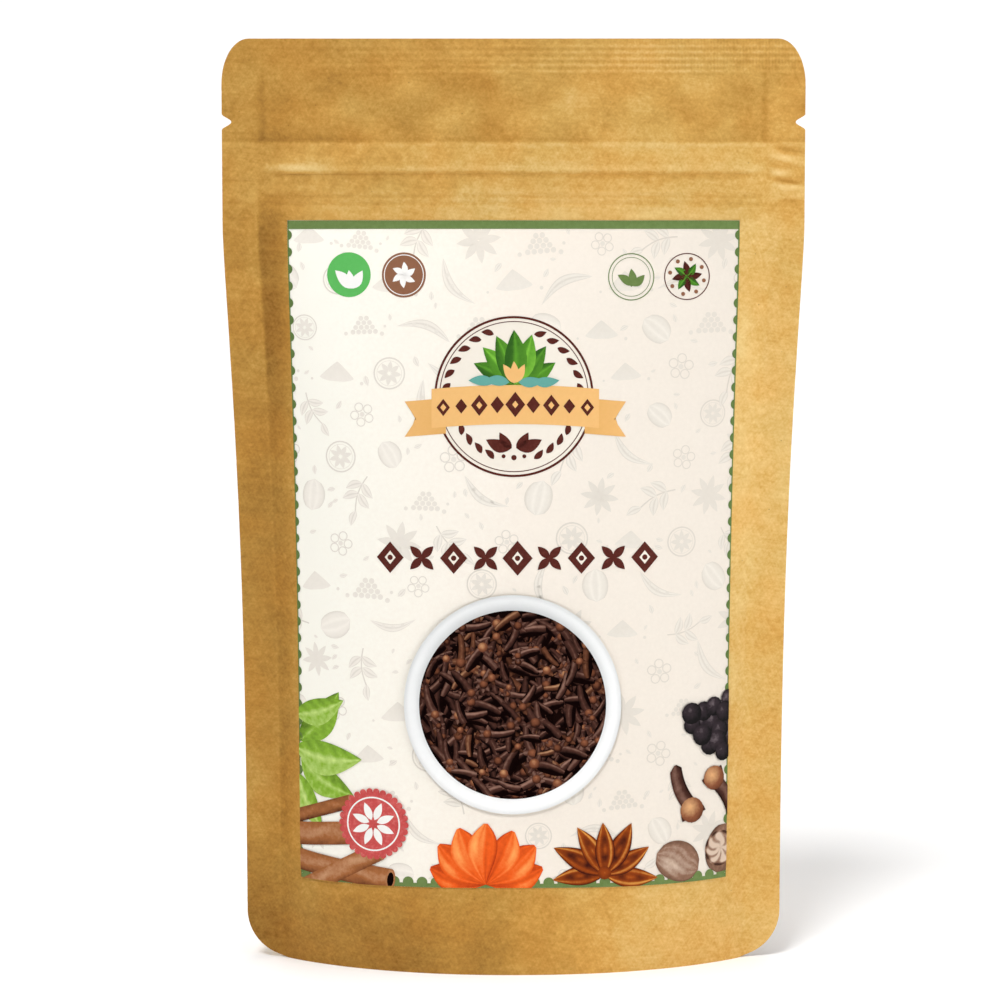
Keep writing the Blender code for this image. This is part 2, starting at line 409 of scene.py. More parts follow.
def slice_at(piece, axis, positions):
    """Cuts a piece along planes square to an axis."""
    only(piece)
    normal = [0.0, 0.0, 0.0]
    normal[axis] = 1.0
    bpy.ops.object.mode_set(mode="EDIT")
    for position in positions:
        bpy.ops.mesh.select_all(action="SELECT")
        bpy.ops.mesh.bisect(plane_co=[n * position for n in normal], plane_no=normal, threshold=1e-6)
    bpy.ops.object.mode_set(mode="OBJECT")


def trim(piece, axis, limit, keep_above):
    """Cuts a piece off at a plane square to an axis."""
    only(piece)
    normal = [0.0, 0.0, 0.0]
    normal[axis] = 1.0
    bpy.ops.object.mode_set(mode="EDIT")
    bpy.ops.mesh.select_all(action="SELECT")
    bpy.ops.mesh.bisect(
        plane_co=[n * limit for n in normal],
        plane_no=normal,
        clear_inner=keep_above,
        clear_outer=not keep_above,
        threshold=1e-6,
    )
    bpy.ops.object.mode_set(mode="OBJECT")


def apply_placing(piece):
    """Moves a piece's place, turn and size into its mesh."""
    only(piece)
    bpy.ops.object.transform_apply(location=True, rotation=True, scale=True)


def cut_out(piece, cutter):
    """Takes the cutter out of the piece and throws the cutter away."""
    only(piece)
    modifier = piece.modifiers.new("cut", "BOOLEAN")
    modifier.operation = "DIFFERENCE"
    modifier.solver = "EXACT"
    modifier.object = cutter
    bpy.ops.object.modifier_apply(modifier=modifier.name)
    bpy.data.objects.remove(cutter)


def joined(shapes):
    """One piece made of several, with its place in its mesh."""
    bpy.ops.object.select_all(action="DESELECT")
    for shape in shapes:
        shape.select_set(True)
    bpy.context.view_layer.objects.active = shapes[0]
    if len(shapes) > 1:
        bpy.ops.object.join()
    whole = bpy.context.view_layer.objects.active
    apply_placing(whole)
    return whole


def stations(low, high, step):
    """Evenly spaced positions from low to high, no further apart than step."""
    count = max(1, math.ceil((high - low) / step - 1e-6))
    return [low + (high - low) * i / count for i in range(count + 1)]


def hand_over(piece, name, finish, slot, *replaced):
    """Names a finished piece, gives it its finish and lets it ride on the pouch."""
    piece.name = name
    piece.data.name = name
    piece.data.materials.clear()
    piece.data.materials.append(finish)
    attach(piece, "root")
    if replaced:
        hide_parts(*replaced)
    return piece


# Materials.


def linear(colour):
    """An sRGB hex colour as linear RGBA."""
    channels = [int(colour[i : i + 2], 16) / 255 for i in (1, 3, 5)]
    return [c / 12.92 if c <= 0.04045 else ((c + 0.055) / 1.055) ** 2.4 for c in channels] + [1.0]


def add_node(tree, kind, settings, links):
    """Adds a node. A setting is a property, or an input by name or number. A link is an input's source."""
    node = tree.nodes.new(kind)
    for key, value in settings.items():
        if isinstance(key, str) and hasattr(node, key):
            setattr(node, key, value)
        else:
            node.inputs[key].default_value = value
    for key, source in links.items():
        tree.links.new(source, node.inputs[key])
    return node


def new_finish(name, roughness, specular):
    """A Principled material and its parts."""
    made = bpy.data.materials.new(name)
    made.use_nodes = True
    tree = made.node_tree
    shader = tree.nodes["Principled BSDF"]
    shader.inputs["Roughness"].default_value = roughness
    shader.inputs["Specular IOR Level"].default_value = specular
    place = add_node(tree, "ShaderNodeTexCoord", {}, {}).outputs["Object"]
    return made, tree, shader, place


# The unevenness of the pulp, in layers: its size in mm along X, Y and Z, its turn, how much it changes the
# tone, and its detail. Real fibres are about 0.03 mm wide. They are drawn 0.4 mm wide, because finer ones
# vanish in the picture.
PULP_LAYERS = (
    ((19, 19, 16), 0, 0.28, 2.0),
    ((5.5, 5.5, 4.0), 0, 0.21, 2.0),
    ((1.7, 1.5, 1.2), 0, 0.23, 2.0),
    ((0.70, 0.70, 0.60), 0, 0.17, 1.0),
    ((2.6, 1.5, 0.46), 0.20, 0.15, 1.0),
    ((2.3, 1.5, 0.42), 1.20, 0.15, 1.0),
    ((2.3, 1.5, 0.42), -0.85, 0.15, 1.0),
    ((12.0, 8.0, 0.90), 0, 0.05, 1.5),
)
COCKLE_LAYER, TOOTH_LAYER = 2, 3
KRAFT_TONES = ((0.30, "#ba8b40"), (0.5, "#d2a557"), (0.70, "#e3c07b"))
CLOUD = 14 * MM
FLECK_SPACING = 4.2 * MM
FLECK_STRENGTH = 0.42
KNURL_SPACING = 0.72 * MM


def pulp_noise(tree, place):
    """The tone of the uneven pulp with the painted light and shade added, and the noise of each of its
    layers.
    """
    # The painted light and shade, and the header's mottling, that the pouch's vertices carry.
    painted_shading_value = add_node(tree, "ShaderNodeAttribute", {"attribute_name": "painted_shading_and_mottle"}, {})
    start = add_node(tree, "ShaderNodeMath", {"operation": "ADD", 1: 0.5}, {0: painted_shading_value.outputs["Fac"]})
    total = start.outputs["Value"]
    grains = []
    for size, turn, amount, detail in PULP_LAYERS:
        scale = tuple(edge * MM for edge in size)
        turned = add_node(
            tree,
            "ShaderNodeMapping",
            {"vector_type": "TEXTURE", "Rotation": (0, turn, 0), "Scale": scale},
            {"Vector": place},
        )
        pulp = add_node(
            tree,
            "ShaderNodeTexNoise",
            {"Scale": 1.0, "Detail": detail, "Roughness": 0.55},
            {"Vector": turned.outputs["Vector"]},
        )
        centred = add_node(
            tree, "ShaderNodeMath", {"operation": "SUBTRACT", 1: 0.5}, {0: pulp.outputs["Fac"]}
        )
        summed = add_node(
            tree,
            "ShaderNodeMath",
            {"operation": "MULTIPLY_ADD", 1: amount},
            {0: centred.outputs["Value"], 2: total},
        )
        total = summed.outputs["Value"]
        grains.append(pulp.outputs["Fac"])
    return total, grains


def kraft_colour(tree, place, total):
    """The brown of the pulp, redder in some places and yellower in others, with a few dark flecks of bark."""
    # The palest browns of the ramp are less saturated, for the painted sheen on the right margin that reaches
    # them.
    tones = add_node(tree, "ShaderNodeValToRGB", {}, {"Fac": total})
    tones.color_ramp.elements[0].color = linear("#8c6226")
    tones.color_ramp.elements[1].color = linear("#f6dda4")
    for position, colour in KRAFT_TONES:
        tones.color_ramp.elements.new(position).color = linear(colour)
    warmth = add_node(
        tree, "ShaderNodeTexNoise", {"Scale": 1 / CLOUD, "Detail": 2.0, "Roughness": 0.5}, {"Vector": place}
    )
    tints = add_node(tree, "ShaderNodeValToRGB", {}, {"Fac": warmth.outputs["Fac"]})
    tints.color_ramp.elements[0].position = 0.36
    tints.color_ramp.elements[0].color = linear("#fdffff")
    tints.color_ramp.elements[1].position = 0.64
    tints.color_ramp.elements[1].color = linear("#fff7eb")
    tinted = add_node(
        tree,
        "ShaderNodeMix",
        {"data_type": "RGBA", "blend_type": "MULTIPLY", 0: 1.0},
        {6: tones.outputs["Color"], 7: tints.outputs["Color"]},
    )
    flecks = add_node(tree, "ShaderNodeTexVoronoi", {"Scale": 1 / FLECK_SPACING}, {"Vector": place})
    fleck_mask = add_node(tree, "ShaderNodeValToRGB", {}, {"Fac": flecks.outputs["Distance"]})
    fleck_mask.color_ramp.elements[0].position = 0.02
    fleck_mask.color_ramp.elements[0].color = [FLECK_STRENGTH] * 3 + [1]
    fleck_mask.color_ramp.elements[1].position = 0.05
    fleck_mask.color_ramp.elements[1].color = (0, 0, 0, 1)
    flecked = add_node(
        tree,
        "ShaderNodeMix",
        {"data_type": "RGBA", "blend_type": "MIX", 7: linear("#6b3f1c")},
        {"Factor": fleck_mask.outputs["Color"], 6: tinted.outputs[2]},
    )
    return flecked.outputs[2]


def sealer_lines(tree, place):
    """Fine lines pressed across the ribs along the top edge by the sealer's jaws, deepest on the right."""
    parts = add_node(tree, "ShaderNodeSeparateXYZ", {}, {"Vector": place})
    across = add_node(
        tree,
        "ShaderNodeMath",
        {"operation": "MULTIPLY", 1: 2 * math.pi / KNURL_SPACING},
        {0: parts.outputs["X"]},
    )
    lines = add_node(tree, "ShaderNodeMath", {"operation": "SINE"}, {0: across.outputs["Value"]})
    soft = {"interpolation_type": "SMOOTHSTEP", "To Max": 1.0}
    band = add_node(
        tree,
        "ShaderNodeMapRange",
        {**soft, "From Min": 200 * MM, "From Max": 202 * MM, "To Min": 0.0},
        {"Value": parts.outputs["Z"]},
    )
    pressed = add_node(
        tree,
        "ShaderNodeMapRange",
        {**soft, "From Min": 0.0, "From Max": 40 * MM, "To Min": 0.1},
        {"Value": parts.outputs["X"]},
    )
    strength = add_node(
        tree,
        "ShaderNodeMath",
        {"operation": "MULTIPLY"},
        {0: pressed.outputs["Result"], 1: band.outputs["Result"]},
    )
    jaws = add_node(
        tree,
        "ShaderNodeMath",
        {"operation": "MULTIPLY"},
        {0: lines.outputs["Value"], 1: strength.outputs["Value"]},
    )
    return jaws.outputs["Value"]


def kraft_laminate():
    """Unbleached kraft paper, laminated inside and uncoated outside: matte, cloudy where the pulp is uneven,
    with short fibres lying every way and a few dark flecks of bark. Painted light and shade make it paler or
    darker."""
    made, tree, shader, place = new_finish("brown_kraft_laminate", 0.68, 0.16)
    total, grains = pulp_noise(tree, place)
    tree.links.new(kraft_colour(tree, place, total), shader.inputs["Base Color"])
    knurl = add_node(
        tree,
        "ShaderNodeBump",
        {"Strength": 0.6, "Distance": 0.05 * MM},
        {"Height": sealer_lines(tree, place)},
    )
    tooth = add_node(
        tree,
        "ShaderNodeBump",
        {"Strength": 0.5, "Distance": 0.05 * MM},
        {"Height": grains[TOOTH_LAYER], "Normal": knurl.outputs["Normal"]},
    )
    cockle = add_node(
        tree,
        "ShaderNodeBump",
        {"Strength": 0.5, "Distance": 0.12 * MM},
        {"Height": grains[COCKLE_LAYER], "Normal": tooth.outputs["Normal"]},
    )
    tree.links.new(cockle.outputs["Normal"], shader.inputs["Normal"])
    return made


def label_stock():
    """Uncoated cream label paper: even, nearly white, with a fine tooth, and painted shade that grows towards
    the right.
    """
    made, tree, shader, place = new_finish("cream_label_paper", 0.6, 0.15)
    tooth = add_node(
        tree,
        "ShaderNodeTexNoise",
        {"Scale": 1 / (0.8 * MM), "Detail": 3.0, "Roughness": 0.6},
        {"Vector": place},
    )
    parts = add_node(tree, "ShaderNodeSeparateXYZ", {}, {"Vector": place})
    # Painted light at the left of the label, fading into painted shade towards its right.
    across = add_node(
        tree,
        "ShaderNodeMapRange",
        {"From Min": -50 * MM, "From Max": 50 * MM, "To Min": -0.14, "To Max": 0.44},
        {"Value": parts.outputs["X"]},
    )
    total = add_node(
        tree,
        "ShaderNodeMath",
        {"operation": "MULTIPLY_ADD", 1: 0.18},
        {0: tooth.outputs["Fac"], 2: across.outputs["Result"]},
    )
    tones = add_node(tree, "ShaderNodeValToRGB", {}, {"Fac": total.outputs["Value"]})
    tones.color_ramp.elements[0].color = linear("#fffcf1")
    tones.color_ramp.elements[1].position = 0.6
    tones.color_ramp.elements[1].color = linear("#e3dace")
    tones.color_ramp.elements.new(0.24).color = linear("#f4ebdf")
    tree.links.new(tones.outputs["Color"], shader.inputs["Base Color"])
    bump = add_node(
        tree, "ShaderNodeBump", {"Strength": 0.2, "Distance": 0.01 * MM}, {"Height": tooth.outputs["Fac"]}
    )
    tree.links.new(bump.outputs["Normal"], shader.inputs["Normal"])
    return made


def printed_ink(name, dark, middle, light, grain=0.10, gloss=0.10):
    """Offset ink on label paper. Its tone follows the drawing, from dark to light, and wavers a little."""
    made, tree, shader, place = new_finish(name, 0.6, gloss)
    tone = add_node(tree, "ShaderNodeAttribute", {"attribute_name": "tone"}, {})
    tooth = add_node(
        tree,
        "ShaderNodeTexNoise",
        {"Scale": 1 / (0.9 * MM), "Detail": 3.0, "Roughness": 0.65},
        {"Vector": place},
    )
    waver = add_node(
        tree,
        "ShaderNodeMapRange",
        {"From Min": 0.25, "From Max": 0.75, "To Min": -grain, "To Max": grain},
        {"Value": tooth.outputs["Fac"]},
    )
    total = add_node(
        tree, "ShaderNodeMath", {"operation": "ADD"}, {0: tone.outputs["Fac"], 1: waver.outputs["Result"]}
    )
    tones = add_node(tree, "ShaderNodeValToRGB", {}, {"Fac": total.outputs["Value"]})
    tones.color_ramp.elements[0].color = linear(dark)
    tones.color_ramp.elements[1].color = linear(light)
    tones.color_ramp.elements.new(0.5).color = linear(middle)
    tree.links.new(tones.outputs["Color"], shader.inputs["Base Color"])
    return made


def white_floor():
    """A matte white sweep of studio paper."""
    made, _, shader, _ = new_finish("white_studio_paper", 0.9, 0.1)
    shader.inputs["Base Color"].default_value = linear("#fdfdfd")
    return made


# The pouch.


def gusset_recess():
    """The space under the gusset, between the skirts."""
    bpy.ops.mesh.primitive_cube_add(size=2)
    recess = bpy.context.object
    slice_at(recess, 0, stations(-1, 1, 1 / 30)[1:-1])
    slice_at(recess, 1, stations(-1, 1, 1 / 10)[1:-1])
    slice_at(recess, 2, [-0.6, -0.2, 0.2, 0.6])
    for vertex in recess.data.vertices:
        s = vertex.co.x * (HALF_BULGE - PAPER)
        share = vertex.co.y
        z = BELOW_FLOOR + (gusset_height(s, share) - BELOW_FLOOR) * (vertex.co.z + 1) / 2
        x, depth = section(s, max(z, 0.0))
        half_width = max(depth - PAPER, SLIT_HALF_WIDTH)
        vertex.co = (x, share * half_width + sway(s, max(z, 0.0)), z)
    return recess


def round_corners(pouch):
    """Rounds the flat pouch's corners. The top ones are then drawn in to an oval."""
    for top, radius in ((True, TOP_CORNER), (False, BOTTOM_CORNER)):

        def is_corner(edge):
            ends = [pouch.data.vertices[i].co for i in edge.vertices]
            upright = abs(ends[0].z - ends[1].z) > MM
            return upright and (ends[0].y > HEIGHT / 2) == top

        select_in(pouch, "EDGE", is_corner)
        bpy.ops.object.mode_set(mode="EDIT")
        bpy.ops.mesh.bevel(offset=radius, segments=14, profile=0.5, affect="EDGES")
        bpy.ops.object.mode_set(mode="OBJECT")
    for vertex in pouch.data.vertices:
        reach = HALF_SHEET - abs(vertex.co.x)
        if vertex.co.y > HEIGHT - TOP_CORNER - 0.1 * MM and reach < TOP_CORNER + 0.1 * MM:
            vertex.co.x = math.copysign(HALF_SHEET - reach * TOP_CORNER_ACROSS / TOP_CORNER, vertex.co.x)


def cut_notches(pouch):
    """Cuts a round tear notch into each side seal."""
    for side in (-1, 1):
        bpy.ops.mesh.primitive_grid_add(x_subdivisions=24, y_subdivisions=1, size=2)
        notch = bpy.context.object
        for vertex in notch.data.vertices:
            share = vertex.co.x
            depth = NOTCH_DEPTH * math.cos(math.pi * share / 2) ** 2 - 0.02 * MM if vertex.co.y > 0 else -MM
            vertex.co = (side * (HALF_SHEET - depth), NOTCH_HEIGHT + NOTCH_HALF_HEIGHT * share, -3 * MM)
        only(notch)
        bpy.ops.object.mode_set(mode="EDIT")
        bpy.ops.mesh.select_all(action="SELECT")
        bpy.ops.mesh.extrude_region_move(TRANSFORM_OT_translate={"value": (0, 0, 6 * MM)})
        bpy.ops.mesh.select_all(action="SELECT")
        bpy.ops.mesh.normals_make_consistent(inside=False)
        bpy.ops.object.mode_set(mode="OBJECT")
        cut_out(pouch, notch)


def kraft_pouch(finish):
    """The two panels with their seals, zip, notches and gusset, cut flat and then filled out."""
    bpy.ops.mesh.primitive_cube_add(size=1, location=(0, HEIGHT / 2, 0))
    pouch = bpy.context.object
    pouch.scale = (PANEL_WIDTH, HEIGHT, 2 * MM)
    apply_placing(pouch)
    round_corners(pouch)
    cut_notches(pouch)
    slice_at(pouch, 0, stations(*(edge * MM for edge in MIDDLE_COLUMNS)))
    for side in (-1, 1):
        for columns in SIDE_COLUMNS:
            slice_at(pouch, 0, [side * s for s in stations(*(edge * MM for edge in columns))])
    for rows in ROWS:
        slice_at(pouch, 1, stations(*(edge * MM for edge in rows)))
    # Each vertex carries its painted light and shade, and the header's mottling.
    painted_shading_layer = pouch.data.attributes.new("painted_shading_and_mottle", "FLOAT", "POINT")
    for i, vertex in enumerate(pouch.data.vertices):
        side = 1 if vertex.co.z > 0 else -1
        painted_shading_layer.data[i].value = painted_shading_and_mottle(vertex.co.x, vertex.co.y, side)
        vertex.co = paper(vertex.co.x, vertex.co.y, side)
    cut_out(pouch, gusset_recess())
    only(pouch)
    bpy.ops.object.shade_smooth_by_angle(angle=SMOOTH_UNDER)
    return hand_over(pouch, "filled_pouch", finish, "kraft_paper", "pouch")


def label_sheet(finish):
    """The label's paper, laid on the front panel."""
    bpy.ops.mesh.primitive_plane_add(size=1, location=(0, (LABEL_BOTTOM + LABEL_TOP) / 2, 0))
    sheet = bpy.context.object
    sheet.scale = (LABEL_WIDTH, LABEL_TOP - LABEL_BOTTOM, 1)
    apply_placing(sheet)
    slice_at(sheet, 0, stations(-HALF_LABEL, HALF_LABEL, LABEL_CELL * MM)[1:-1])
    slice_at(sheet, 1, stations(LABEL_BOTTOM, LABEL_TOP, LABEL_CELL * MM)[1:-1])
    lay_on_label(sheet, LABEL_FRONT)
    only(sheet)
    thickness = sheet.modifiers.new("thickness", "SOLIDIFY")
    thickness.thickness = LABEL_FRONT - LABEL_BACK
    thickness.offset = -1
    bpy.ops.object.modifier_apply(modifier=thickness.name)
    bpy.ops.object.shade_smooth_by_angle(angle=SMOOTH_UNDER)
    return hand_over(sheet, "label_sheet", finish, "label_paper", "label")


# Drawing on the label.


def tone(shape, value):
    """Gives a flat shape its tone: a number, or a function of x and y in mm."""
    layer = shape.data.attributes.new("tone", "FLOAT", "POINT")
    for i, vertex in enumerate(shape.data.vertices):
        given = value(vertex.co.x / MM, vertex.co.y / MM) if callable(value) else value
        layer.data[i].value = given
    return shape


def even(*_):
    """The tone of a shape that has the same tone all over."""
    return 0.5


def disc(radius, value=0.5, sides=32):
    """A round field of colour. Sizes are in mm."""
    bpy.ops.mesh.primitive_circle_add(vertices=sides, radius=radius * MM, fill_type="NGON")
    return tone(bpy.context.object, value)


def ball(radius, value, sides=14):
    """A round shape shaded from its middle to its rim."""
    bpy.ops.mesh.primitive_circle_add(vertices=sides, radius=radius * MM, fill_type="TRIFAN")
    shape = bpy.context.object
    bpy.ops.object.mode_set(mode="EDIT")
    bpy.ops.mesh.select_all(action="SELECT")
    bpy.ops.mesh.subdivide(number_cuts=2)
    bpy.ops.object.mode_set(mode="OBJECT")
    for vertex in shape.data.vertices:
        reach = vertex.co.length
        if reach > 0:
            turn = math.atan2(vertex.co.y, vertex.co.x) % (2 * math.pi / sides) - math.pi / sides
            vertex.co *= math.cos(turn) / math.cos(math.pi / sides)
    return tone(shape, value)


def ring(radius, width, value=0.5, sides=64, rounds=1):
    """A round line, from its outer radius inwards."""
    bpy.ops.mesh.primitive_circle_add(vertices=sides, radius=radius * MM, fill_type="NGON")
    shape = bpy.context.object
    bpy.ops.object.mode_set(mode="EDIT")
    bpy.ops.mesh.select_all(action="SELECT")
    for _ in range(rounds):
        bpy.ops.mesh.inset(thickness=width / rounds * MM, use_boundary=True)
    bpy.ops.mesh.delete(type="FACE")
    bpy.ops.object.mode_set(mode="OBJECT")
    return tone(shape, value)


def strip(length, columns, rows, outline, value):
    """A long shape along Y, from 0 to its length. outline gives (middle, half width) in mm for a share."""
    bpy.ops.mesh.primitive_grid_add(x_subdivisions=columns, y_subdivisions=rows, size=2)
    shape = bpy.context.object
    layer = shape.data.attributes.new("tone", "FLOAT", "POINT")
    for i, vertex in enumerate(shape.data.vertices):
        across = vertex.co.x
        share = min(max((vertex.co.y + 1) / 2, 0.0), 1.0)
        middle, half = outline(share)
        layer.data[i].value = value(across, share)
        vertex.co = ((middle + across * half) * MM, share * length * MM, 0)
    return shape


def leaf(length, width, bend=0.0, value=None, rows=8):
    """A pointed leaf with a vein."""

    def outline(share):
        half = width / 2 * max(0.0, math.sin(math.pi * share**0.85)) ** 0.9 + 0.002
        return bend * math.sin(math.pi * share), half

    def shade(across, share):
        vein = 0.35 * math.exp(-((across / 0.18) ** 2))
        return 0.42 + 0.22 * across + vein - 0.12 * share

    return strip(length, 6, rows, outline, value or shade)


def lozenge(width, height, value=0.5):
    """A diamond."""
    bpy.ops.mesh.primitive_circle_add(vertices=4, radius=MM, fill_type="NGON")
    shape = bpy.context.object
    shape.scale = (width / 2, height / 2, 1)
    apply_placing(shape)
    return tone(shape, value)


def placed(shape, s, z, turn=0.0, size=1.0, level=0.0, flip=1.0, tone_shift=0.0):
    """A copy of a shape with its own mesh, at a place in mm, turned in degrees, so many ink layers up."""
    copy = shape.copy()
    copy.data = shape.data.copy()
    bpy.context.collection.objects.link(copy)
    scale = Matrix.Diagonal((size * flip, size, 1, 1))
    turned = Matrix.Rotation(math.radians(turn), 4, "Z")
    copy.data.transform(Matrix.Translation((s * MM, z * MM, level * INK)) @ turned @ scale)
    if flip < 0:
        copy.data.flip_normals()
    if tone_shift:
        for value in copy.data.attributes["tone"].data:
            value.value += tone_shift
    return copy


def thrown_away(*shapes):
    """Removes the patterns that the copies were made from."""
    for shape in shapes:
        bpy.data.objects.remove(shape)


def print_on_label(name, shapes, finish, level, cell=LABEL_CELL, top=LABEL_TOP):
    """Joins flat shapes into one print, trims it to the label and lays it on the paper."""
    whole = joined(shapes)
    lows = [min(v.co[axis] for v in whole.data.vertices) for axis in (0, 1)]
    highs = [max(v.co[axis] for v in whole.data.vertices) for axis in (0, 1)]
    edge = 0.02 * MM
    if lows[0] < -HALF_LABEL + edge:
        trim(whole, 0, -HALF_LABEL + edge, True)
    if highs[0] > HALF_LABEL - edge:
        trim(whole, 0, HALF_LABEL - edge, False)
    if lows[1] < LABEL_BOTTOM + edge:
        trim(whole, 1, LABEL_BOTTOM + edge, True)
    if highs[1] > top - edge:
        trim(whole, 1, top - edge, False)
    if cell:
        slice_at(whole, 0, stations(lows[0], highs[0], cell * MM)[1:-1])
        slice_at(whole, 1, stations(lows[1], highs[1], cell * MM)[1:-1])
    lay_on_label(whole, LABEL_FRONT + level * INK)
    only(whole)
    bpy.ops.object.shade_smooth()
    return hand_over(whole, name, finish, "label_paper")


# The label's prints.


def faint_motifs():
    """The shapes of the faint drawings, the motifs made of them, and the loose drop between them.

    A motif is a list of shapes, each with its place in mm, its turn in degrees and its size."""
    fill, line, tint = 0.56, 0.36, 0.72

    def outlined(across, _):
        return line if abs(across) > 0.95 or abs(across) < 0.05 else tint

    def filled(*_):
        return fill

    def heap_outline(share):
        return 0, 4.9 * (1 - share) ** 0.9 * min(1.0, 0.10 + share / 0.20) ** 0.45 + 0.01

    def nut_outline(share):
        return 0.2 * math.sin(math.pi * share), 3.0 * math.sqrt(max(0.0, 1 - (2 * share - 1) ** 2)) + 0.01

    def nut_tone(across, _):
        return line if abs(across) > 0.95 else tint - 0.10 * math.cos(across * 9)

    stalk = strip(9.4, 1, 6, lambda share: (0.9 * math.sin(math.pi * share), 0.16), lambda *_: line)
    fine_leaf = leaf(4.9, 2.3, 0.4, outlined, 7)
    petal = leaf(4.6, 1.7, 0.0, filled, 6)
    wedge = leaf(2.4, 1.1, 0.0, filled, 4)
    pod = leaf(12.5, 2.1, 2.2, outlined, 12)
    drop = leaf(2.3, 1.1, 0.1, outlined, 4)
    heap = strip(4.5, 8, 12, heap_outline, lambda _, share: fill + 0.10 - 0.10 * share)
    nut = strip(7.6, 9, 9, nut_outline, nut_tone)
    seed = disc(0.62, fill, 9)
    hoop = ring(3.5, 0.32, line + 0.04, 28)
    inner_hoop = ring(2.8, 0.14, fill, 28)
    small_hoop = ring(1.15, 0.25, line + 0.06, 12)
    patterns = (stalk, fine_leaf, petal, wedge, pod, drop, heap, nut, seed, hoop, inner_hoop, small_hoop)

    def spokes(shape, count, reach):
        """The same shape so many times around a middle, from so far out."""
        around = []
        for k in range(count):
            angle = 2 * math.pi * k / count
            around.append((shape, -reach * math.sin(angle), reach * math.cos(angle), 360 * k / count, 1))
        return around

    sprig = [(stalk, 0, -4.4, 0, 1), (fine_leaf, 0, 4.4, 0, 0.8)]
    sprig += [(fine_leaf, 0.6, 2.6 * k - 2.4, 54 * side, 0.9) for k in range(2) for side in (-1, 1)]
    mound = []
    for row in range(4):
        mound += [(seed, (k - (4 - row) / 2) * 1.4, 1.1 * row - 2, 0, 1) for k in range(5 - row)]
    mound += [(seed, -4.6, -2.3, 0, 0.8), (seed, 4.4, -2.6, 0, 0.9), (seed, 5.2, -0.8, 0, 0.6)]
    pod_seeds = [(seed, 0.5 + 0.5 * (k == 1), 2.6 * k - 2.6, 0, 0.8) for k in range(3)]
    motifs = {
        "sprig": sprig,
        "slice": [(hoop, 0, 0, 0, 1), (inner_hoop, 0, 0, 0, 1)] + spokes(wedge, 8, 0.3),
        "mound": mound,
        "heap": [(heap, 0, -2.2, 0, 1), (seed, -5.9, -2.0, 0, 0.5), (seed, 5.9, -2.3, 0, 0.7)],
        "star": spokes(petal, 8, 0.2) + [(seed, 0, 0, 0, 1.4)],
        "pod": [(pod, -1, -6.2, 0, 1)] + pod_seeds,
        "nut": [(nut, 0, -3.8, 0, 1), (drop, 4.2, -2.5, -30, 0.9)],
        "flower": spokes(small_hoop, 5, 1.9) + [(seed, 0, 0, 0, 1)],
    }
    return patterns, motifs, drop


def faint_pattern(ink):
    """Pale grey drawings of sprigs, slices, seeds, heaps, pods, nuts and flowers, over the whole label."""
    draw = random.Random(11)
    patterns, motifs, drop = faint_motifs()
    upright = ("mound", "heap")
    columns, rows = 9, 16
    column_gap, row_gap = 13.0, 9.5
    # The label paper has painted shade towards the right, and the ink keeps its step below it.
    painted_shade_each_mm = -0.004
    shapes = []
    above = [None] * columns
    for row in range(rows):
        last = None
        for column in range(columns):
            s = -52.6 + column_gap * (column + 0.5 * (row % 2)) + draw.uniform(-1.2, 1.2)
            z = LABEL_BOTTOM / MM + 2.0 + row_gap * row + draw.uniform(-1.1, 1.1)
            name = draw.choice([motif for motif in motifs if motif not in (last, above[column])])
            last = above[column] = name
            lean = draw.uniform(-8, 8) if name in upright else draw.uniform(0, 360)
            loose = (drop, 6.6, draw.uniform(-2, 2), draw.uniform(0, 360), draw.uniform(0.6, 1.1))
            size = draw.uniform(0.82, 1.06)
            angle = math.radians(lean)
            for shape, across, up, turn, part_size in motifs[name] + [loose]:
                x = s + size * (across * math.cos(angle) - up * math.sin(angle))
                y = z + size * (across * math.sin(angle) + up * math.cos(angle))
                shift = painted_shade_each_mm * x
                if abs(x) < 56 and y < LABEL_TOP / MM + 4:
                    shapes.append(placed(shape, x, y, lean + turn, size * part_size, 0, 1, shift))
    thrown_away(*patterns)
    # The pattern ends under the lower edge of the green bar.
    print_on_label("print_faint_pattern", shapes, ink, 1, 0, LABEL_TOP - 1.9 * MM)


def green_border(ink):
    """The bar along the top and the scallops down both sides and along the bottom."""
    top, bottom, half = LABEL_TOP / MM, LABEL_BOTTOM / MM, HALF_LABEL / MM
    bar, foot_line, side_line = 2.0, 0.95, 0.32
    bpy.ops.mesh.primitive_plane_add(size=1)
    band = tone(bpy.context.object, 0.55)
    shapes = []
    for left, right, low, high in (
        (-half, half, top - bar, top),
        (-half, half, bottom, bottom + foot_line),
        (-half, side_line - half, bottom, top),
        (half - side_line, half, bottom, top),
    ):
        copy = placed(band, 0, 0)
        for vertex in copy.data.vertices:
            s = right if vertex.co.x > 0 else left
            z = high if vertex.co.y > 0 else low
            vertex.co = (s * MM, z * MM, 0)
        shapes.append(copy)
    side_bump = disc(1.16, 0.34, 20)
    for z in stations(bottom + 2.2, top - 3.3, 3.8):
        for side in (-1, 1):
            shapes.append(placed(side_bump, side * (half + 0.12), z, 0, 1.0, 1))
    foot_bump = disc(1.22, 0.55, 20)
    for s in stations(1.6 - half, half - 1.6, 3.2):
        shapes.append(placed(foot_bump, s, bottom + 1.15, 0, 1.0, 1))
    thrown_away(band, side_bump, foot_bump)
    print_on_label("print_green_border", shapes, ink, 5)


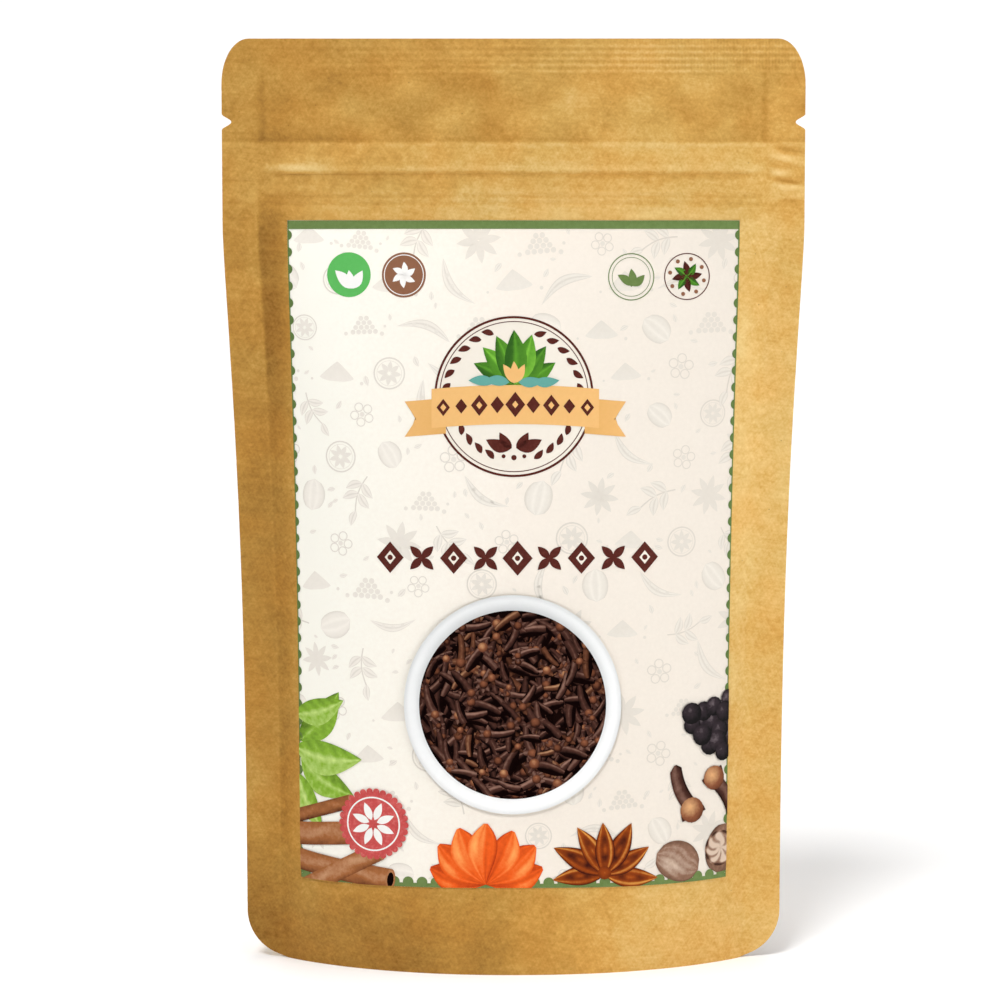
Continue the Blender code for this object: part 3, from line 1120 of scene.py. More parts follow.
def badges(drawn):
    """Four round badges, with plain motifs."""
    small_leaf = leaf(4.4, 2.0, 0.25)
    flat_leaf = leaf(4.0, 1.9, 0.3, even)
    dot = disc(0.5, 0.5, 14)
    badge = disc(4.9, 0.55, 48)
    badge_ring = ring(4.45, 0.18, 0.6, 48)
    fine_ring = ring(5.15, 0.22, 0.5, 56)
    inner_ring = ring(4.3, 0.12, 0.5, 56)

    first, second, z = -36.7, -24.4, 156.2
    drawn["bright green"].append(placed(badge, first, z))
    drawn["badge brown"].append(placed(badge, second, z))
    for turn, size in ((38, 1.25), (-38, 1.25), (0, 1.0)):
        drawn["white"].append(placed(flat_leaf, first, z - 3.0, turn, size, 1 if turn else 2))
    drawn["white"].append(placed(badge_ring, second, z, 0, 1, 1))
    for k in range(6):
        drawn["white"].append(placed(flat_leaf, second, z, 60 * k, 0.72, 1))

    s, z = 26.2, 155.8
    drawn["green"].append(placed(fine_ring, s, z))
    drawn["green"].append(placed(inner_ring, s, z))
    for turn in (52, -52):
        drawn["green"].append(placed(flat_leaf, s, z - 1.9, turn, 0.95, 1))
    drawn["green"].append(placed(flat_leaf, s, z - 2.2, 0, 1.0, 2))

    s, z = 38.7, 155.8
    drawn["maroon"].append(placed(fine_ring, s, z))
    for k in range(8):
        drawn["leaf" if k % 2 else "maroon"].append(placed(small_leaf, s, z, 45 * k + 10, 0.78, 1, 1, -0.25))
    for k in range(8):
        angle = math.radians(45 * k + 32)
        x, y = s + 3.9 * math.cos(angle), z + 3.9 * math.sin(angle)
        drawn["badge brown"].append(placed(dot, x, y, 0, 0.9, 1))
    thrown_away(small_leaf, flat_leaf, dot, badge, badge_ring, fine_ring, inner_ring)


def round_ornament(drawn):
    """A pale disc in two rings, with a wreath, a fan of leaves, and dots and leaves at its foot."""
    s, z = 0.1, 129.6
    flat_leaf = leaf(4.0, 1.9, 0.3, even)
    dot = disc(0.5, 0.5, 14)
    field = disc(17.4, 0.5, 72)
    outer = ring(17.7, 0.5, 0.5, 96)
    inner = ring(16.6, 0.2, 0.5, 96)
    drawn["pale"].append(placed(field, s, z))
    drawn["maroon"].append(placed(outer, s, z, 0, 1, 1))
    drawn["maroon"].append(placed(inner, s, z, 0, 1, 1))
    for k in range(30):
        angle = 12 * k + 6
        # The band across the ornament covers the wreath at both sides.
        if abs((angle % 180) - 90) > 72:
            continue
        x = s + 14.4 * math.sin(math.radians(angle))
        y = z + 14.4 * math.cos(math.radians(angle))
        turn = -angle - 62 if angle < 180 else -angle + 62
        drawn["maroon"].append(placed(flat_leaf, x, y, turn + (180 if 90 < angle < 270 else 0), 0.72, 1))
    fan_leaf = leaf(11.0, 4.6, 0.4)
    for k, turn in enumerate((62, -62, 40, -40, 20, -20, 0)):
        shift = (-0.22, -0.1, 0.12)[k % 3]
        drawn["leaf"].append(placed(fan_leaf, s, z + 2.6, turn, 0.92 + 0.03 * k, 2 + 0.7 * k, 1, shift))
    small_fan = leaf(6.0, 2.4, 0.2, even)
    for k, turn in enumerate((30, -30, 0)):
        drawn["tan"].append(placed(small_fan, s, z + 3.0, turn, 0.8, 7 + 0.7 * k))
    for side in (-1, 1):
        for k in range(2):
            x = s + side * (1.0 + 3.4 * k)
            drawn["teal"].append(placed(small_fan, x, z + 3.2, -side * 86, 0.95, 9 + 0.7 * k))
    lozenge_band(drawn, s + 0.3, z - 2.6)
    for k in range(-1, 2):
        drawn["maroon"].append(placed(dot, s + 2.3 * k, z - 13.4 + 0.3 * k * k, 0, 1.2 - 0.3 * abs(k), 2))
    for side in (-1, 1):
        for turn, size in ((72, 1.5), (38, 1.1)):
            drawn["maroon"].append(placed(flat_leaf, s + side * 0.5, z - 11.3, -side * turn, size, 2, side))
    thrown_away(flat_leaf, dot, field, outer, inner, fan_leaf, small_fan)


def lozenge_band(drawn, s, z):
    """The arched band across the ornament, with a row of lozenges on it and a notched tail at each end."""
    half_width, half_height = 18.6, 4.3
    gap = 4.0

    def arch(across):
        return 0.9 * (1 - (across / half_width) ** 2)

    bpy.ops.mesh.primitive_grid_add(x_subdivisions=8, y_subdivisions=2, size=2)
    ribbon = bpy.context.object
    for vertex in ribbon.data.vertices:
        across = half_width * vertex.co.x
        vertex.co = (across * MM, (half_height * vertex.co.y + arch(across)) * MM, 0)
    tone(ribbon, 0.5)
    bpy.ops.mesh.primitive_grid_add(x_subdivisions=4, y_subdivisions=2, size=2)
    tail = bpy.context.object
    for vertex in tail.data.vertices:
        notch = 2.6 * (1 - abs(vertex.co.y)) if vertex.co.x > 0.9 else 0.0
        vertex.co = ((4.6 * vertex.co.x - notch) * MM, (3.9 * vertex.co.y - 0.4 * vertex.co.x) * MM, 0)
    tone(tail, lambda x, _: 0.26 + 0.03 * x)
    drawn["tan"].append(placed(ribbon, s, z, 0, 1, 4))
    for side in (-1, 1):
        drawn["tan"].append(placed(tail, s + side * 20.0, z - 2.0, 0, 1, 2.5, side))
    big = lozenge(4.4, 5.6)
    middle = lozenge(3.2, 4.0)
    for k in range(-4, 5):
        shape, size = (middle, 1 - 0.06 * abs(k)) if k % 2 else (big, 1 - 0.08 * abs(k))
        drawn["maroon"].append(placed(shape, s + gap * k, z + arch(gap * k), 0, size, 5.5))
        if k % 2 == 0:
            drawn["tan"].append(placed(middle, s + gap * k, z + arch(gap * k), 0, 0.42, 7))
    thrown_away(ribbon, tail, big, middle)


def flower_row(drawn):
    """A row of lozenges and four-petalled flowers across the label."""
    s, z, gap = 0.9, 93.9, 7.1
    centre = lozenge(6.4, 7.4)
    small = lozenge(3.4, 4.2)
    petal = leaf(6.6, 3.2, 0.0, even)
    dot = disc(0.5, 0.5, 14)
    for k in range(-4, 5):
        x = s + gap * k
        if k % 2 == 0:
            drawn["maroon"].append(placed(centre, x, z, 0, 0.95 if k else 1.05, 2))
            drawn["pale"].append(placed(small, x, z, 0, 0.72, 5))
            drawn["maroon"].append(placed(dot, x, z, 0, 1.2, 6))
            continue
        for turn in (45, 135, 225, 315):
            drawn["maroon"].append(placed(petal, x, z, turn, 0.56, 2))
        drawn["maroon"].append(placed(dot, x, z, 0, 1.5, 3))
    thrown_away(centre, small, petal, dot)


def main_prints(inks):
    """The badges, the round ornament and the row of lozenges and flowers, one print for each ink."""
    drawn = collections.defaultdict(list)
    badges(drawn)
    round_ornament(drawn)
    flower_row(drawn)
    for name, ink, level in (
        ("print_badge_green", "bright green", 4),
        ("print_badge_brown", "badge brown", 4),
        ("print_white_marks", "white", 6),
        ("print_green_lines", "green", 4),
        ("print_pale_fields", "pale", 3),
        ("print_leaf_fan", "leaf", 4),
        ("print_teal_leaves", "teal", 4),
        ("print_tan_band", "tan", 4),
        ("print_maroon_marks", "maroon", 4),
    ):
        print_on_label(name, drawn[ink], inks[ink], level)


# The bowl, in mm on the label, and the light in its picture, which comes from the upper left.
BOWL = (-0.2, 61.05)
BOWL_RIM = 24.3
BOWL_INSIDE = 20.9
LIGHT = (-0.34, 0.94)
CLOVES = 380
CLOVE_TURNS = 16
CLOVE_CROSSING = 3.1
CLOVE_LAYER = 0.92


def clove_stem(turn, bend):
    """The stem of a clove that lies at a turn, bent to one side and lit along its upper left."""
    lit = LIGHT[0] * math.cos(turn) + LIGHT[1] * math.sin(turn)

    def outline(share):
        end = min(1.0, 0.62 + 3.4 * share, 0.80 + 3.0 * (1 - share))
        return bend * math.sin(math.pi * share), (0.62 + 0.34 * share**2) * end

    def shade(across, share):
        body = 0.44 + 0.24 * lit * across - 0.24 * across * across
        shine = 0.52 * hump(across, 0.5 * lit, 0.30) * (0.35 + 0.65 * abs(lit))
        wrinkle = 0.06 * math.sin(share * 17 + 2.3 * across)
        return body + shine * (0.55 + 0.45 * math.sin(math.pi * share)) + wrinkle

    return strip(6.2, 4, 7, outline, shade)


def clove_bud(turn):
    """The round bud of a clove that lies at a turn, palest towards the light."""
    lit_x = LIGHT[0] * math.cos(turn) + LIGHT[1] * math.sin(turn)
    lit_y = LIGHT[1] * math.cos(turn) - LIGHT[0] * math.sin(turn)
    bpy.ops.mesh.primitive_circle_add(vertices=10, radius=1.06 * MM, fill_type="TRIFAN")
    bud = bpy.context.object
    bpy.ops.object.mode_set(mode="EDIT")
    bpy.ops.mesh.select_all(action="SELECT")
    bpy.ops.mesh.subdivide(number_cuts=1)
    bpy.ops.object.mode_set(mode="OBJECT")
    return tone(bud, lambda x, y: 0.80 - 0.62 * math.hypot(x - 0.34 * lit_x, y - 0.34 * lit_y) / 1.1)


def clove_prong():
    """One of the four small lobes that stand round a clove's bud."""

    def outline(share):
        return 0, 0.66 * math.sin(math.pi * (0.12 + 0.86 * share)) ** 0.8

    return strip(2.05, 2, 3, outline, lambda across, share: 0.62 - 0.30 * abs(across) - 0.25 * (1 - share))


def clove_shadow():
    """The dark shape that a clove casts on the ones below it."""

    def outline(share):
        return 0, 0.98 * min(1.0, 0.4 + 2 * share, 0.4 + 2 * (1 - share))

    return strip(6.6, 2, 7, outline, lambda *_: 0.1)


def height_in_heap(laid, heights, line):
    """How many cloves up a new one lies: over the highest that it crosses, to keep the heap of ink thin."""
    under = 0
    if laid:
        gaps = np.linalg.norm(np.array(laid)[:, :, None, :] - line[None, None, :, :], axis=3).min(axis=(1, 2))
        under = max((height for height, gap in zip(heights, gaps) if gap < CLOVE_CROSSING), default=0)
    return under + 1


def clove_heap(inks):
    """Whole cloves that lie over one another every way, and the level of ink above them all."""
    draw = random.Random(5)
    turns = [2 * math.pi * k / CLOVE_TURNS for k in range(CLOVE_TURNS)]
    stem_patterns = [clove_stem(turn, 0.45 if k % 2 else -0.35) for k, turn in enumerate(turns)]
    bud_patterns = [clove_bud(turn) for turn in turns]
    prong, shadow = clove_prong(), clove_shadow()
    shades, stems, ruddy, buds = [], [], [], []
    laid, heights = [], []
    for k in range(CLOVES):
        age = k / CLOVES
        reach = (BOWL_INSIDE - 0.2) * math.sqrt(draw.random())
        angle = draw.uniform(0, 2 * math.pi)
        x, y = BOWL[0] + reach * math.cos(angle), BOWL[1] + reach * math.sin(angle)
        turn = draw.uniform(0, 2 * math.pi)
        if reach > BOWL_INSIDE - 3.4:
            turn = angle + draw.choice((0, math.pi)) + draw.uniform(-0.6, 0.6)
        pick = round(turn / (2 * math.pi) * CLOVE_TURNS) % CLOVE_TURNS
        size = draw.uniform(0.74, 1.12)
        shift = -0.30 * (1 - age) ** 1.3 + draw.uniform(-0.10, 0.12)
        half = 3.1 * size
        foot = (x + half * math.sin(turn), y - half * math.cos(turn))
        head = (x - half * math.sin(turn), y + half * math.cos(turn))
        degrees = math.degrees(turn)
        line = np.linspace(foot, head, 6)
        height = height_in_heap(laid, heights, line)
        laid.append(line)
        heights.append(height)
        level = height * CLOVE_LAYER
        shades.append(placed(shadow, foot[0] + 0.18, foot[1] - 0.34, degrees, size, level))
        target = ruddy if draw.random() < 0.12 else stems
        target.append(placed(stem_patterns[pick], *foot, degrees, size, level + 0.25, 1, shift))
        if draw.random() < 0.66:
            crown = draw.uniform(0.85, 1.12) * size
            for spread_out in (-100, -42, 16, 74):
                around = degrees + spread_out + draw.uniform(-14, 14)
                target.append(placed(prong, *head, around, crown, level + 0.46, 1, shift + 0.16))
            bud_place = (head[0] - 0.15 * math.sin(turn), head[1] + 0.15 * math.cos(turn))
            fade = draw.choice((-0.26, -0.18, -0.10, 0.0, 0.14)) - 0.22 * (1 - age)
            buds.append(placed(bud_patterns[pick], *bud_place, degrees, crown * 0.95, level + 0.68, 1, fade))
    # A few heads face the viewer, each with four prongs round its bud.
    facing = 9
    level = (max(heights) + 1) * CLOVE_LAYER
    for k in range(facing):
        reach = (BOWL_INSIDE - 2.4) * math.sqrt((k + draw.random()) / facing)
        angle = 2.4 * k + draw.uniform(-0.3, 0.3)
        x, y = BOWL[0] + reach * math.cos(angle), BOWL[1] + reach * math.sin(angle)
        lean = draw.uniform(0, 90)
        for quarter in range(4):
            size, shift = draw.uniform(0.8, 1.0), draw.uniform(-0.3, 0.0)
            ruddy.append(placed(prong, x, y, lean + 90 * quarter, size, level, 1, shift))
        size, shift = draw.uniform(0.7, 0.9), draw.uniform(-0.3, 0.1)
        buds.append(placed(bud_patterns[0], x, y, 0, size, level + 0.3, 1, shift))
    thrown_away(*stem_patterns, *bud_patterns, prong, shadow)
    print_on_label("print_clove_shades", shades, inks["depth"], 5, 0)
    print_on_label("print_clove_stems", stems, inks["clove"], 5, 0)
    print_on_label("print_ruddy_cloves", ruddy, inks["ruddy clove"], 5, 0)
    print_on_label("print_clove_buds", buds, inks["bud"], 5, 0)
    return 5 + level


def bowl_picture(inks):
    """A white bowl seen from above, heaped with cloves."""
    floor = disc(BOWL_INSIDE + 1.0, 0.35, 72)
    floor_print = [placed(floor, *BOWL)]
    thrown_away(floor)
    print_on_label("print_bowl_depth", floor_print, inks["depth"], 4)
    top_level = clove_heap(inks)

    def rim_tone(x, y):
        reach = min(max((math.hypot(x, y) - BOWL_INSIDE) / (BOWL_RIM - BOWL_INSIDE), 0.0), 1.0)
        upper = y / BOWL_RIM
        inner_wall = hump(reach, 0.0, 0.26 + 0.16 * upper)
        outer_wall = smooth_step(reach, 0.66, 1.0)
        lit = 0.90 - 0.09 * upper + 0.02 * x / BOWL_RIM
        return lit - inner_wall * (0.28 + 0.16 * upper) - outer_wall * 0.27

    border = ring(BOWL_RIM, BOWL_RIM - BOWL_INSIDE, rim_tone, 128, 9)
    # The rim is drawn a trifle taller than wide.
    border.data.transform(Matrix.Diagonal((0.996, 1.016, 1, 1)))
    border_print = [placed(border, *BOWL)]
    thrown_away(border)
    print_on_label("print_bowl_rim", border_print, inks["porcelain"], top_level + 2, 0)


def broad_leaves(inks):
    """Broad green leaves at the left edge."""

    def leaf_tone(across, share):
        ribs = 0.10 * math.sin(share * 34 + 5 * abs(across))
        return 0.46 + 0.20 * across + 0.34 * hump(across, 0.0, 0.10) + ribs

    broad = leaf(17.0, 7.6, 1.2, leaf_tone, 18)
    places = (
        (-50.5, 51.0, -42, 0.95, -0.16),
        (-51.5, 57.0, -72, 0.80, 0.05),
        (-50.0, 47.0, -118, 0.92, -0.05),
        (-51.0, 43.5, -150, 0.80, 0.10),
        (-51.5, 49.5, -95, 1.02, 0.08),
    )
    leaves = [
        placed(broad, s, z, turn, size, 1.5 * k, 1, shift)
        for k, (s, z, turn, size, shift) in enumerate(places)
    ]
    thrown_away(broad)
    print_on_label("print_broad_leaves", leaves, inks["broad leaf"], 6, 0)


def bark_rolls(inks):
    """Rolls of bark in the lower left corner, with the dark hollow of each at its end."""
    length, half_width, seen_open = 26.0, 2.5, 0.45

    def bark_tone(across, share):
        grain = 0.07 * math.sin(across * 21 + 3 * math.sin(share * 9))
        return 0.62 - 0.36 * abs(across + 0.2) ** 1.5 + grain

    roll = strip(length, 8, 17, lambda _: (0, half_width), bark_tone)
    bark, hollows = [], []
    places = (
        (-52.0, 33.5, -72, 0.62, -0.12),
        (-53.0, 29.5, -84, 1.05, 0.04),
        (-53.0, 24.2, -97, 0.98, 0.00),
        (-50.0, 17.0, -62, 0.86, 0.08),
    )
    for k, (s, z, turn, size, shift) in enumerate(places):
        level = 8 + 2 * k
        lean = math.radians(turn)
        bark.append(placed(roll, s, z, turn, size, level, 1, shift))
        end = Vector((s - length * size * math.sin(lean), z + length * size * math.cos(lean), 0)) * MM
        mouth = ball(half_width * size, lambda x, y: 0.78 - 0.1 * math.hypot(x, y), 18)
        curl = ball(1.7 * size, lambda *_: 0.2, 14)
        for pattern, target, up in ((mouth, bark, 0.6), (curl, hollows, 1.0)):
            copy = placed(pattern, 0, 0, 0, 1, level + up)
            flattened = Matrix.Rotation(lean, 4, "Z") @ Matrix.Diagonal((1, seen_open, 1, 1))
            copy.data.transform(Matrix.Translation(end) @ flattened)
            target.append(copy)
        thrown_away(mouth, curl)
    thrown_away(roll)
    print_on_label("print_bark_rolls", bark, inks["bark"], 6, 0)
    print_on_label("print_bark_hollows", hollows, inks["depth"], 6, 0)


def red_seal(inks):
    """A round red seal with a notched edge and a plain flower."""
    s, z = -31.6, 33.6
    under, over = 17, 18.5
    seal_disc = disc(7.3, 0.5, 48)
    tooth = disc(0.75, 0.5, 12)
    seal = [placed(seal_disc, s, z, 0, 1, under)]
    for k in range(30):
        angle = math.radians(12 * k)
        seal.append(placed(tooth, s + 7.4 * math.cos(angle), z + 7.4 * math.sin(angle), 0, 1, under))
    seal_ring = ring(6.2, 0.35, 0.5, 48)
    petal = leaf(4.6, 1.9, 0.0, even)
    marks = [placed(seal_ring, s, z, 0, 1, over)]
    for k in range(8):
        turn = 45 * k + 22.5
        angle = math.radians(turn)
        x, y = s - 0.95 * math.sin(angle), z + 0.95 * math.cos(angle)
        marks.append(placed(petal, x, y, turn, 0.92, over))
    thrown_away(seal_disc, tooth, seal_ring, petal)
    print_on_label("print_red_seal", seal, inks["seal red"], 6)
    print_on_label("print_seal_marks", marks, inks["white"], 6)


def orange_petals(inks):
    """Orange petals rising from the bottom edge."""

    def outline(share):
        half = 3.3 * math.sin(math.pi * min(share, 0.985) ** 1.35) ** 0.75 + 0.01
        return 0.8 * math.sin(math.pi * share), half

    def shade(across, share):
        folds = 0.13 * math.sin(across * 9 + 2 * share)
        gloss = 0.42 * hump(across, 0.45, 0.16) * hump(share, 0.62, 0.2)
        edge = 0.16 * smooth_step(abs(across), 0.7, 1.0)
        return 0.46 + 0.20 * across + folds + gloss - edge - 0.25 * (1 - share) ** 2

    petal = strip(13.5, 8, 14, outline, shade)
    fan = (
        (74, 0.96, -0.18),
        (-74, 0.98, -0.14),
        (50, 1.02, -0.02),
        (-52, 1.04, 0.02),
        (26, 1.04, 0.10),
        (-27, 1.0, 0.06),
        (0, 1.02, 0.14),
    )
    petals = [
        placed(petal, -6.2, 20.4, turn, size, 2 + 1.3 * k, 1 if turn < 0 else -1, shift)
        for k, (turn, size, shift) in enumerate(fan)
    ]
    thrown_away(petal)
    print_on_label("print_orange_petals", petals, inks["petal"], 6, 0)


def seed_head(inks):
    """A brown seed head of pointed pods, each split open over a seed."""
    s, z = 20.4, 22.6

    def outline(share):
        half = 2.3 * max(0.0, math.sin(math.pi * share**0.85)) ** 0.9 + 0.002
        return 0.3 * math.sin(math.pi * share), half

    def shade(across, share):
        opening = hump(across, 0.0, 0.42) * stretch(share, 0.18, 0.34, 0.66, 0.86)
        seed = hump(across, 0.0, 0.22) * hump(share, 0.48, 0.10)
        lips = 0.38 * hump(abs(across), 0.62, 0.16) * (0.7 + 0.5 * (across > 0))
        edge = 0.42 * smooth_step(abs(across), 0.78, 1.0)
        return 0.46 + lips - 0.34 * opening + 0.55 * seed - edge - 0.20 * (1 - share)

    pod = strip(12.2, 14, 18, outline, shade)
    pods = []
    for k, turn in enumerate((96, -96, 62, -60, 30, -28, 2)):
        size, shift = 0.96 + 0.05 * (k % 3), (0.0, 0.06, -0.06)[k % 3]
        pods.append(placed(pod, s, z, turn, size, 2 + 1.3 * k, 1, shift))
    hub = ball(1.5, lambda x, y: 0.55 - 0.2 * math.hypot(x, y))
    pods.append(placed(hub, s, z + 0.3, 0, 1, 12))
    thrown_away(pod, hub)
    print_on_label("print_seed_pods", pods, inks["pod"], 6, 0)


def whole_and_cut_nuts(inks):
    """Two whole nuts and a cut one in the lower right corner."""
    cut_radius = 4.1

    def outline(share):
        return 0.25 * math.sin(math.pi * share), 4.0 * math.sqrt(max(0.0, 1 - (2 * share - 1) ** 2)) + 0.01

    def shade(across, share):
        veins = 0.085 * math.sin(across * 15 + 2.2 * math.sin(share * 6.5))
        shine = 0.26 * hump(across, -0.35, 0.4) * hump(share, 0.6, 0.25)
        return 0.55 + veins + shine - 0.34 * across**4 - 0.9 * (share - 0.5) ** 4

    def cut_tone(x, y):
        reach, angle = math.hypot(x, y) / cut_radius, math.atan2(y, x)
        marbled = math.sin(6 * angle + 2.5 * math.sin(4 * reach + angle)) * smooth_step(reach, 0.1, 0.4)
        return 0.95 + 0.42 * marbled - 0.75 * smooth_step(reach, 0.80, 0.90)

    nut = strip(9.8, 16, 16, outline, shade)
    cut = ring(cut_radius, cut_radius - 0.05, cut_tone, 56, 12)
    nuts = [
        placed(nut, 47.6, 21.0, -14, 1.16, 2, 1, -0.12),
        placed(nut, 42.6, 22.2, 66, 1.14, 4, 1, 0.04),
        placed(cut, 48.5, 26.6, 0, 1, 3.5),
    ]
    thrown_away(nut, cut)
    print_on_label("print_nuts", nuts, inks["nut"], 6, 0)


def large_cloves(inks):
    """A few large cloves above the nuts, each with four prongs behind its bud."""

    def outline(share):
        half = 1.15 + 0.35 * share
        return 0.7 * math.sin(math.pi * share), half * min(1.0, (share * 7) ** 0.5 + 0.2)

    def shade(across, share):
        return 0.72 - 0.48 * abs(across - 0.25) ** 1.5 + 0.05 * math.sin(share * 40)

    stem = strip(8.4, 6, 10, outline, shade)
    bud = ball(2.3, lambda x, y: 1.06 - 0.27 * math.hypot(x + 0.5, y - 0.6), 18)
    prong = leaf(3.4, 2.2, 0.0, lambda across, _: 0.55 - 0.3 * abs(across), 5)
    stems, buds = [], []
    places = ((49.6, 48.0, -68, 1.1), (36.6, 46.6, -158, 1.25), (52.0, 33.5, 30, 1.2))
    for k, (s, z, turn, size) in enumerate(places):
        lean = math.radians(turn)
        level = 4 + 3 * k
        head = (s - 8.0 * size * math.sin(lean), z + 8.0 * size * math.cos(lean))
        stems.append(placed(stem, s, z, turn, size, level))
        for spread_out in (-48, -16, 16, 48):
            stems.append(placed(prong, *head, turn + spread_out, size, level + 1))
        x, y = head[0] - 1.3 * math.sin(lean), head[1] + 1.3 * math.cos(lean)
        buds.append(placed(bud, x, y, 0, size, level + 2))
    thrown_away(stem, bud, prong)
    print_on_label("print_large_cloves", stems, inks["clove"], 6, 0)
    print_on_label("print_large_buds", buds, inks["bud"], 6, 0)


def dark_berries(inks):
    """A bunch of dark wrinkled berries at the right edge."""
    draw = random.Random(8)

    def shade(x, y):
        wrinkles = 0.10 * math.sin(4.3 * x + 1.5 * math.sin(3.1 * y)) * math.sin(3.7 * y + 1.1)
        return 0.78 - 0.30 * math.hypot(x + 0.6, y - 0.7) + wrinkles

    berry = ball(2.2, shade, 14)
    places = [
        (50.4, 60.6), (46.6, 59.8), (43.2, 58.4), (49.4, 57.6), (40.6, 55.6), (45.8, 56.4), (51.0, 54.4),
        (42.8, 53.2), (48.2, 53.6), (45.4, 51.0), (50.8, 50.6), (48.4, 48.8), (41.0, 58.0), (44.6, 54.0),
        (47.6, 51.6), (48.6, 56.0), (42.8, 56.0), (51.0, 57.6), (50.6, 52.4),
    ]
    draw.shuffle(places)
    berries = []
    for k, (s, z) in enumerate(places):
        s += draw.uniform(-0.5, 0.5)
        z += draw.uniform(-0.5, 0.5)
        size = draw.uniform(0.92, 1.16)
        turn, shift = draw.uniform(-25, 25), draw.uniform(-0.1, 0.1)
        berries.append(placed(berry, s, z, turn, size, 2 + 1.1 * k, 1, shift))
    thrown_away(berry)
    print_on_label("print_berries", berries, inks["berry"], 6, 0)


# Stage, light and camera.


# The fill light that comes from everywhere, and how bright the wall is where the camera sees it.
AMBIENT = 0.09
WALL = 1.0
# The soft suns: the tilt and the turn in degrees, the energy, and the width in degrees.
SUNS = {
    "overhead_light": (0, 0, 1.60, 30),
    "key_light": (34.5, -21, 1.70, 16),
    "back_light": (-80, 24, 1.00, 24),
}
SIDE_LIGHT_PLACE = (0.42, -0.22, 0.15)
SIDE_LIGHT_AIM = (0, 0, 0.10)
SIDE_LIGHT_SIZE = 0.20
SIDE_LIGHT_ENERGY = 0.62
CAMERA_ELEVATION = math.radians(7.5)
CAMERA_DISTANCE = 1.0
CAMERA_LOOKS_AT = (0, 0, 104.5 * MM)
SENSOR = 36
LENS = 159.79
SHIFT = (-0.0135, 0.0025)


def white_surroundings():
    """A white floor, and a white studio wall that lights the pouch only a little."""
    bpy.ops.mesh.primitive_plane_add(size=60)
    floor = bpy.context.object
    floor.name = "studio_floor"
    floor.data.materials.append(white_floor())

    world = bpy.data.worlds.new("studio")
    bpy.context.scene.world = world
    world.use_nodes = True
    tree = world.node_tree
    ambient = tree.nodes["Background"]
    ambient.inputs["Color"].default_value = (1, 1, 1, 1)
    ambient.inputs["Strength"].default_value = AMBIENT
    seen = add_node(tree, "ShaderNodeBackground", {"Color": (1, 1, 1, 1), "Strength": WALL}, {})
    ray = add_node(tree, "ShaderNodeLightPath", {}, {})
    wall = add_node(
        tree,
        "ShaderNodeMixShader",
        {},
        {0: ray.outputs["Is Camera Ray"], 1: ambient.outputs["Background"], 2: seen.outputs["Background"]},
    )
    tree.links.new(wall.outputs["Shader"], tree.nodes["World Output"].inputs["Surface"])


def studio_lights():
    """Light from overhead, a key light from the front left, one from behind, and a small one at the right."""
    for name, (tilt, turn, energy, width) in SUNS.items():
        bpy.ops.object.light_add(type="SUN", rotation=(math.radians(tilt), 0, math.radians(turn)))
        light = bpy.context.object
        light.name = name
        light.data.energy = energy
        light.data.angle = math.radians(width)

    bpy.ops.object.light_add(type="AREA", location=SIDE_LIGHT_PLACE)
    light = bpy.context.object
    light.name = "side_light"
    light.data.shape = "DISK"
    light.data.size = SIDE_LIGHT_SIZE
    light.data.energy = SIDE_LIGHT_ENERGY
    towards = Vector(SIDE_LIGHT_AIM) - light.location
    light.rotation_euler = towards.to_track_quat("-Z", "Y").to_euler()


def photo_camera():
    """The camera, a little above the pouch, for the photograph's view."""
    bpy.ops.object.camera_add()
    camera = bpy.context.object
    back = Vector((0, -math.cos(CAMERA_ELEVATION), math.sin(CAMERA_ELEVATION)))
    camera.location = Vector(CAMERA_LOOKS_AT) + CAMERA_DISTANCE * back
    camera.rotation_euler = (math.radians(90) - CAMERA_ELEVATION, 0, 0)
    camera.data.sensor_width = SENSOR
    camera.data.lens = LENS
    camera.data.shift_x, camera.data.shift_y = SHIFT
    camera.data.clip_start = 0.05
    camera.data.clip_end = 200
    bpy.context.scene.camera = camera
    bpy.context.scene.view_settings.view_transform = "Standard"


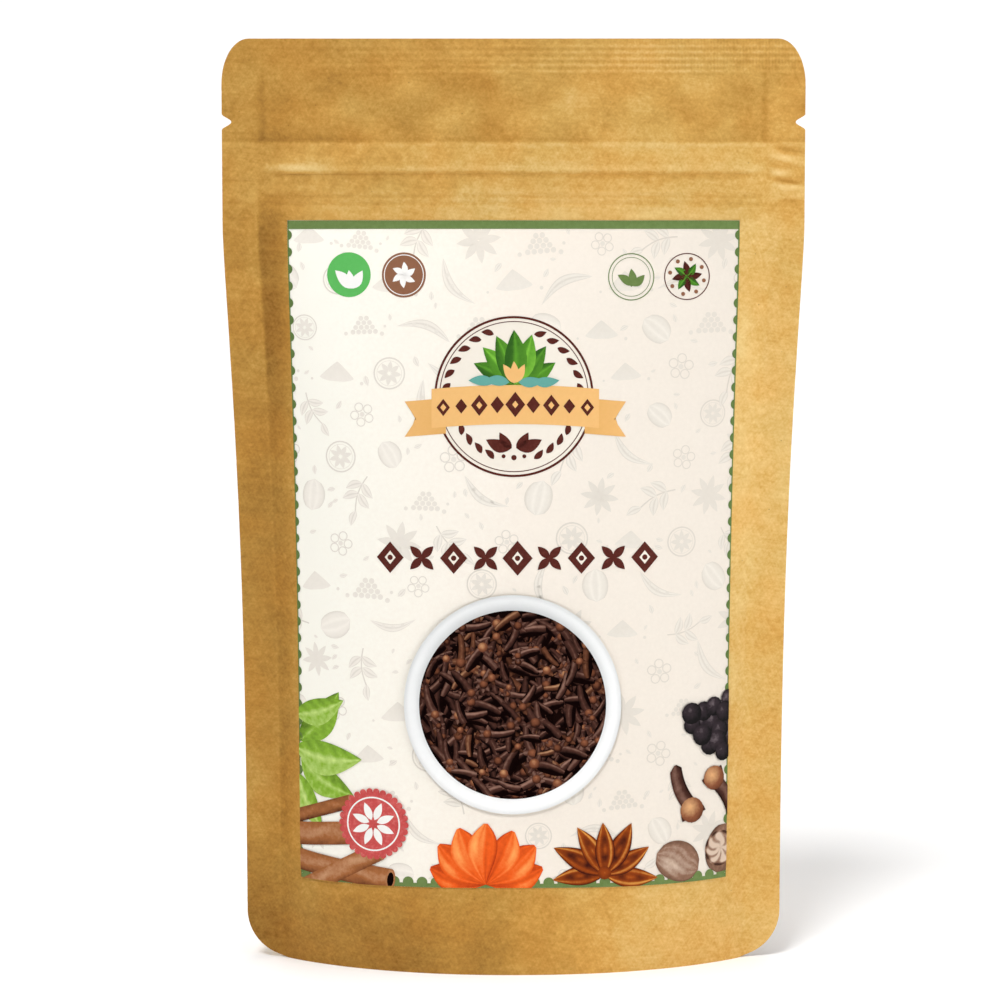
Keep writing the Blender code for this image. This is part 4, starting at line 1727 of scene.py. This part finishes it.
# The inks: the material's name, the dark, the middle and the light tone, how much it wavers, and its gloss.
INKS = {
    "faint": ("ink_faint_grey", "#d0c7bb", "#e2dbd0", "#fbf5eb", 0.05),
    "green": ("ink_leaf_green", "#4d6836", "#687f47", "#849c62", 0.12),
    "bright green": ("ink_bright_green", "#45a046", "#5cb85c", "#74c874", 0.06),
    "badge brown": ("ink_soft_brown", "#7a5039", "#8b5e45", "#a1745a", 0.06),
    "white": ("ink_white", "#e9e6e0", "#f8f6f2", "#ffffff", 0.05),
    "leaf": ("ink_fresh_green", "#2f5d1c", "#5a9a2c", "#8fd14a", 0.08),
    "broad leaf": ("ink_light_green", "#4d6d1c", "#8bb53a", "#d0e58c", 0.10),
    "teal": ("ink_teal", "#4c8f86", "#64a69c", "#86bfb6", 0.05),
    "tan": ("ink_tan_orange", "#e0a95f", "#eebb77", "#f6cd95", 0.06),
    "pale": ("ink_pale_stone", "#e6ddcf", "#f0e8db", "#f8f2e6", 0.06),
    "maroon": ("ink_maroon", "#401813", "#56241d", "#7d463a", 0.14),
    "depth": ("ink_black_brown", "#0a0202", "#180a07", "#2b1812", 0.10, 0.01),
    "clove": ("ink_clove_brown", "#140807", "#4c2f27", "#977263", 0.08, 0.02),
    "ruddy clove": ("ink_ruddy_brown", "#1f0d07", "#69402d", "#b58865", 0.08, 0.02),
    "bud": ("ink_bud_tan", "#2d1610", "#885239", "#d9a675", 0.08, 0.02),
    "porcelain": ("ink_porcelain_grey", "#8f9191", "#d3d5d5", "#fbfcfc", 0.015),
    "bark": ("ink_bark_brown", "#4f2410", "#a5673c", "#ddb189", 0.10),
    "seal red": ("ink_seal_red", "#b23c3b", "#cb5351", "#e58e8a", 0.22),
    "petal": ("ink_petal_orange", "#a92a06", "#ee5f1c", "#ffab5e", 0.08),
    "pod": ("ink_pod_brown", "#3c0f04", "#9a430e", "#eba94f", 0.08),
    "nut": ("ink_nut_brown", "#43291f", "#8c6854", "#d6bfab", 0.10),
    "berry": ("ink_berry_black", "#0e0a0b", "#31272c", "#7d7074", 0.12),
}


def main():
    """Makes the pouch, its label and everything printed on it, and sets the stage."""
    kraft_pouch(kraft_laminate())
    label_sheet(label_stock())
    inks = {key: printed_ink(*values) for key, values in INKS.items()}
    faint_pattern(inks["faint"])
    green_border(inks["green"])
    main_prints(inks)
    bowl_picture(inks)
    for picture in (
        broad_leaves,
        bark_rolls,
        red_seal,
        orange_petals,
        seed_head,
        whole_and_cut_nuts,
        large_cloves,
        dark_berries,
    ):
        picture(inks)
    white_surroundings()
    studio_lights()
    photo_camera()


main()
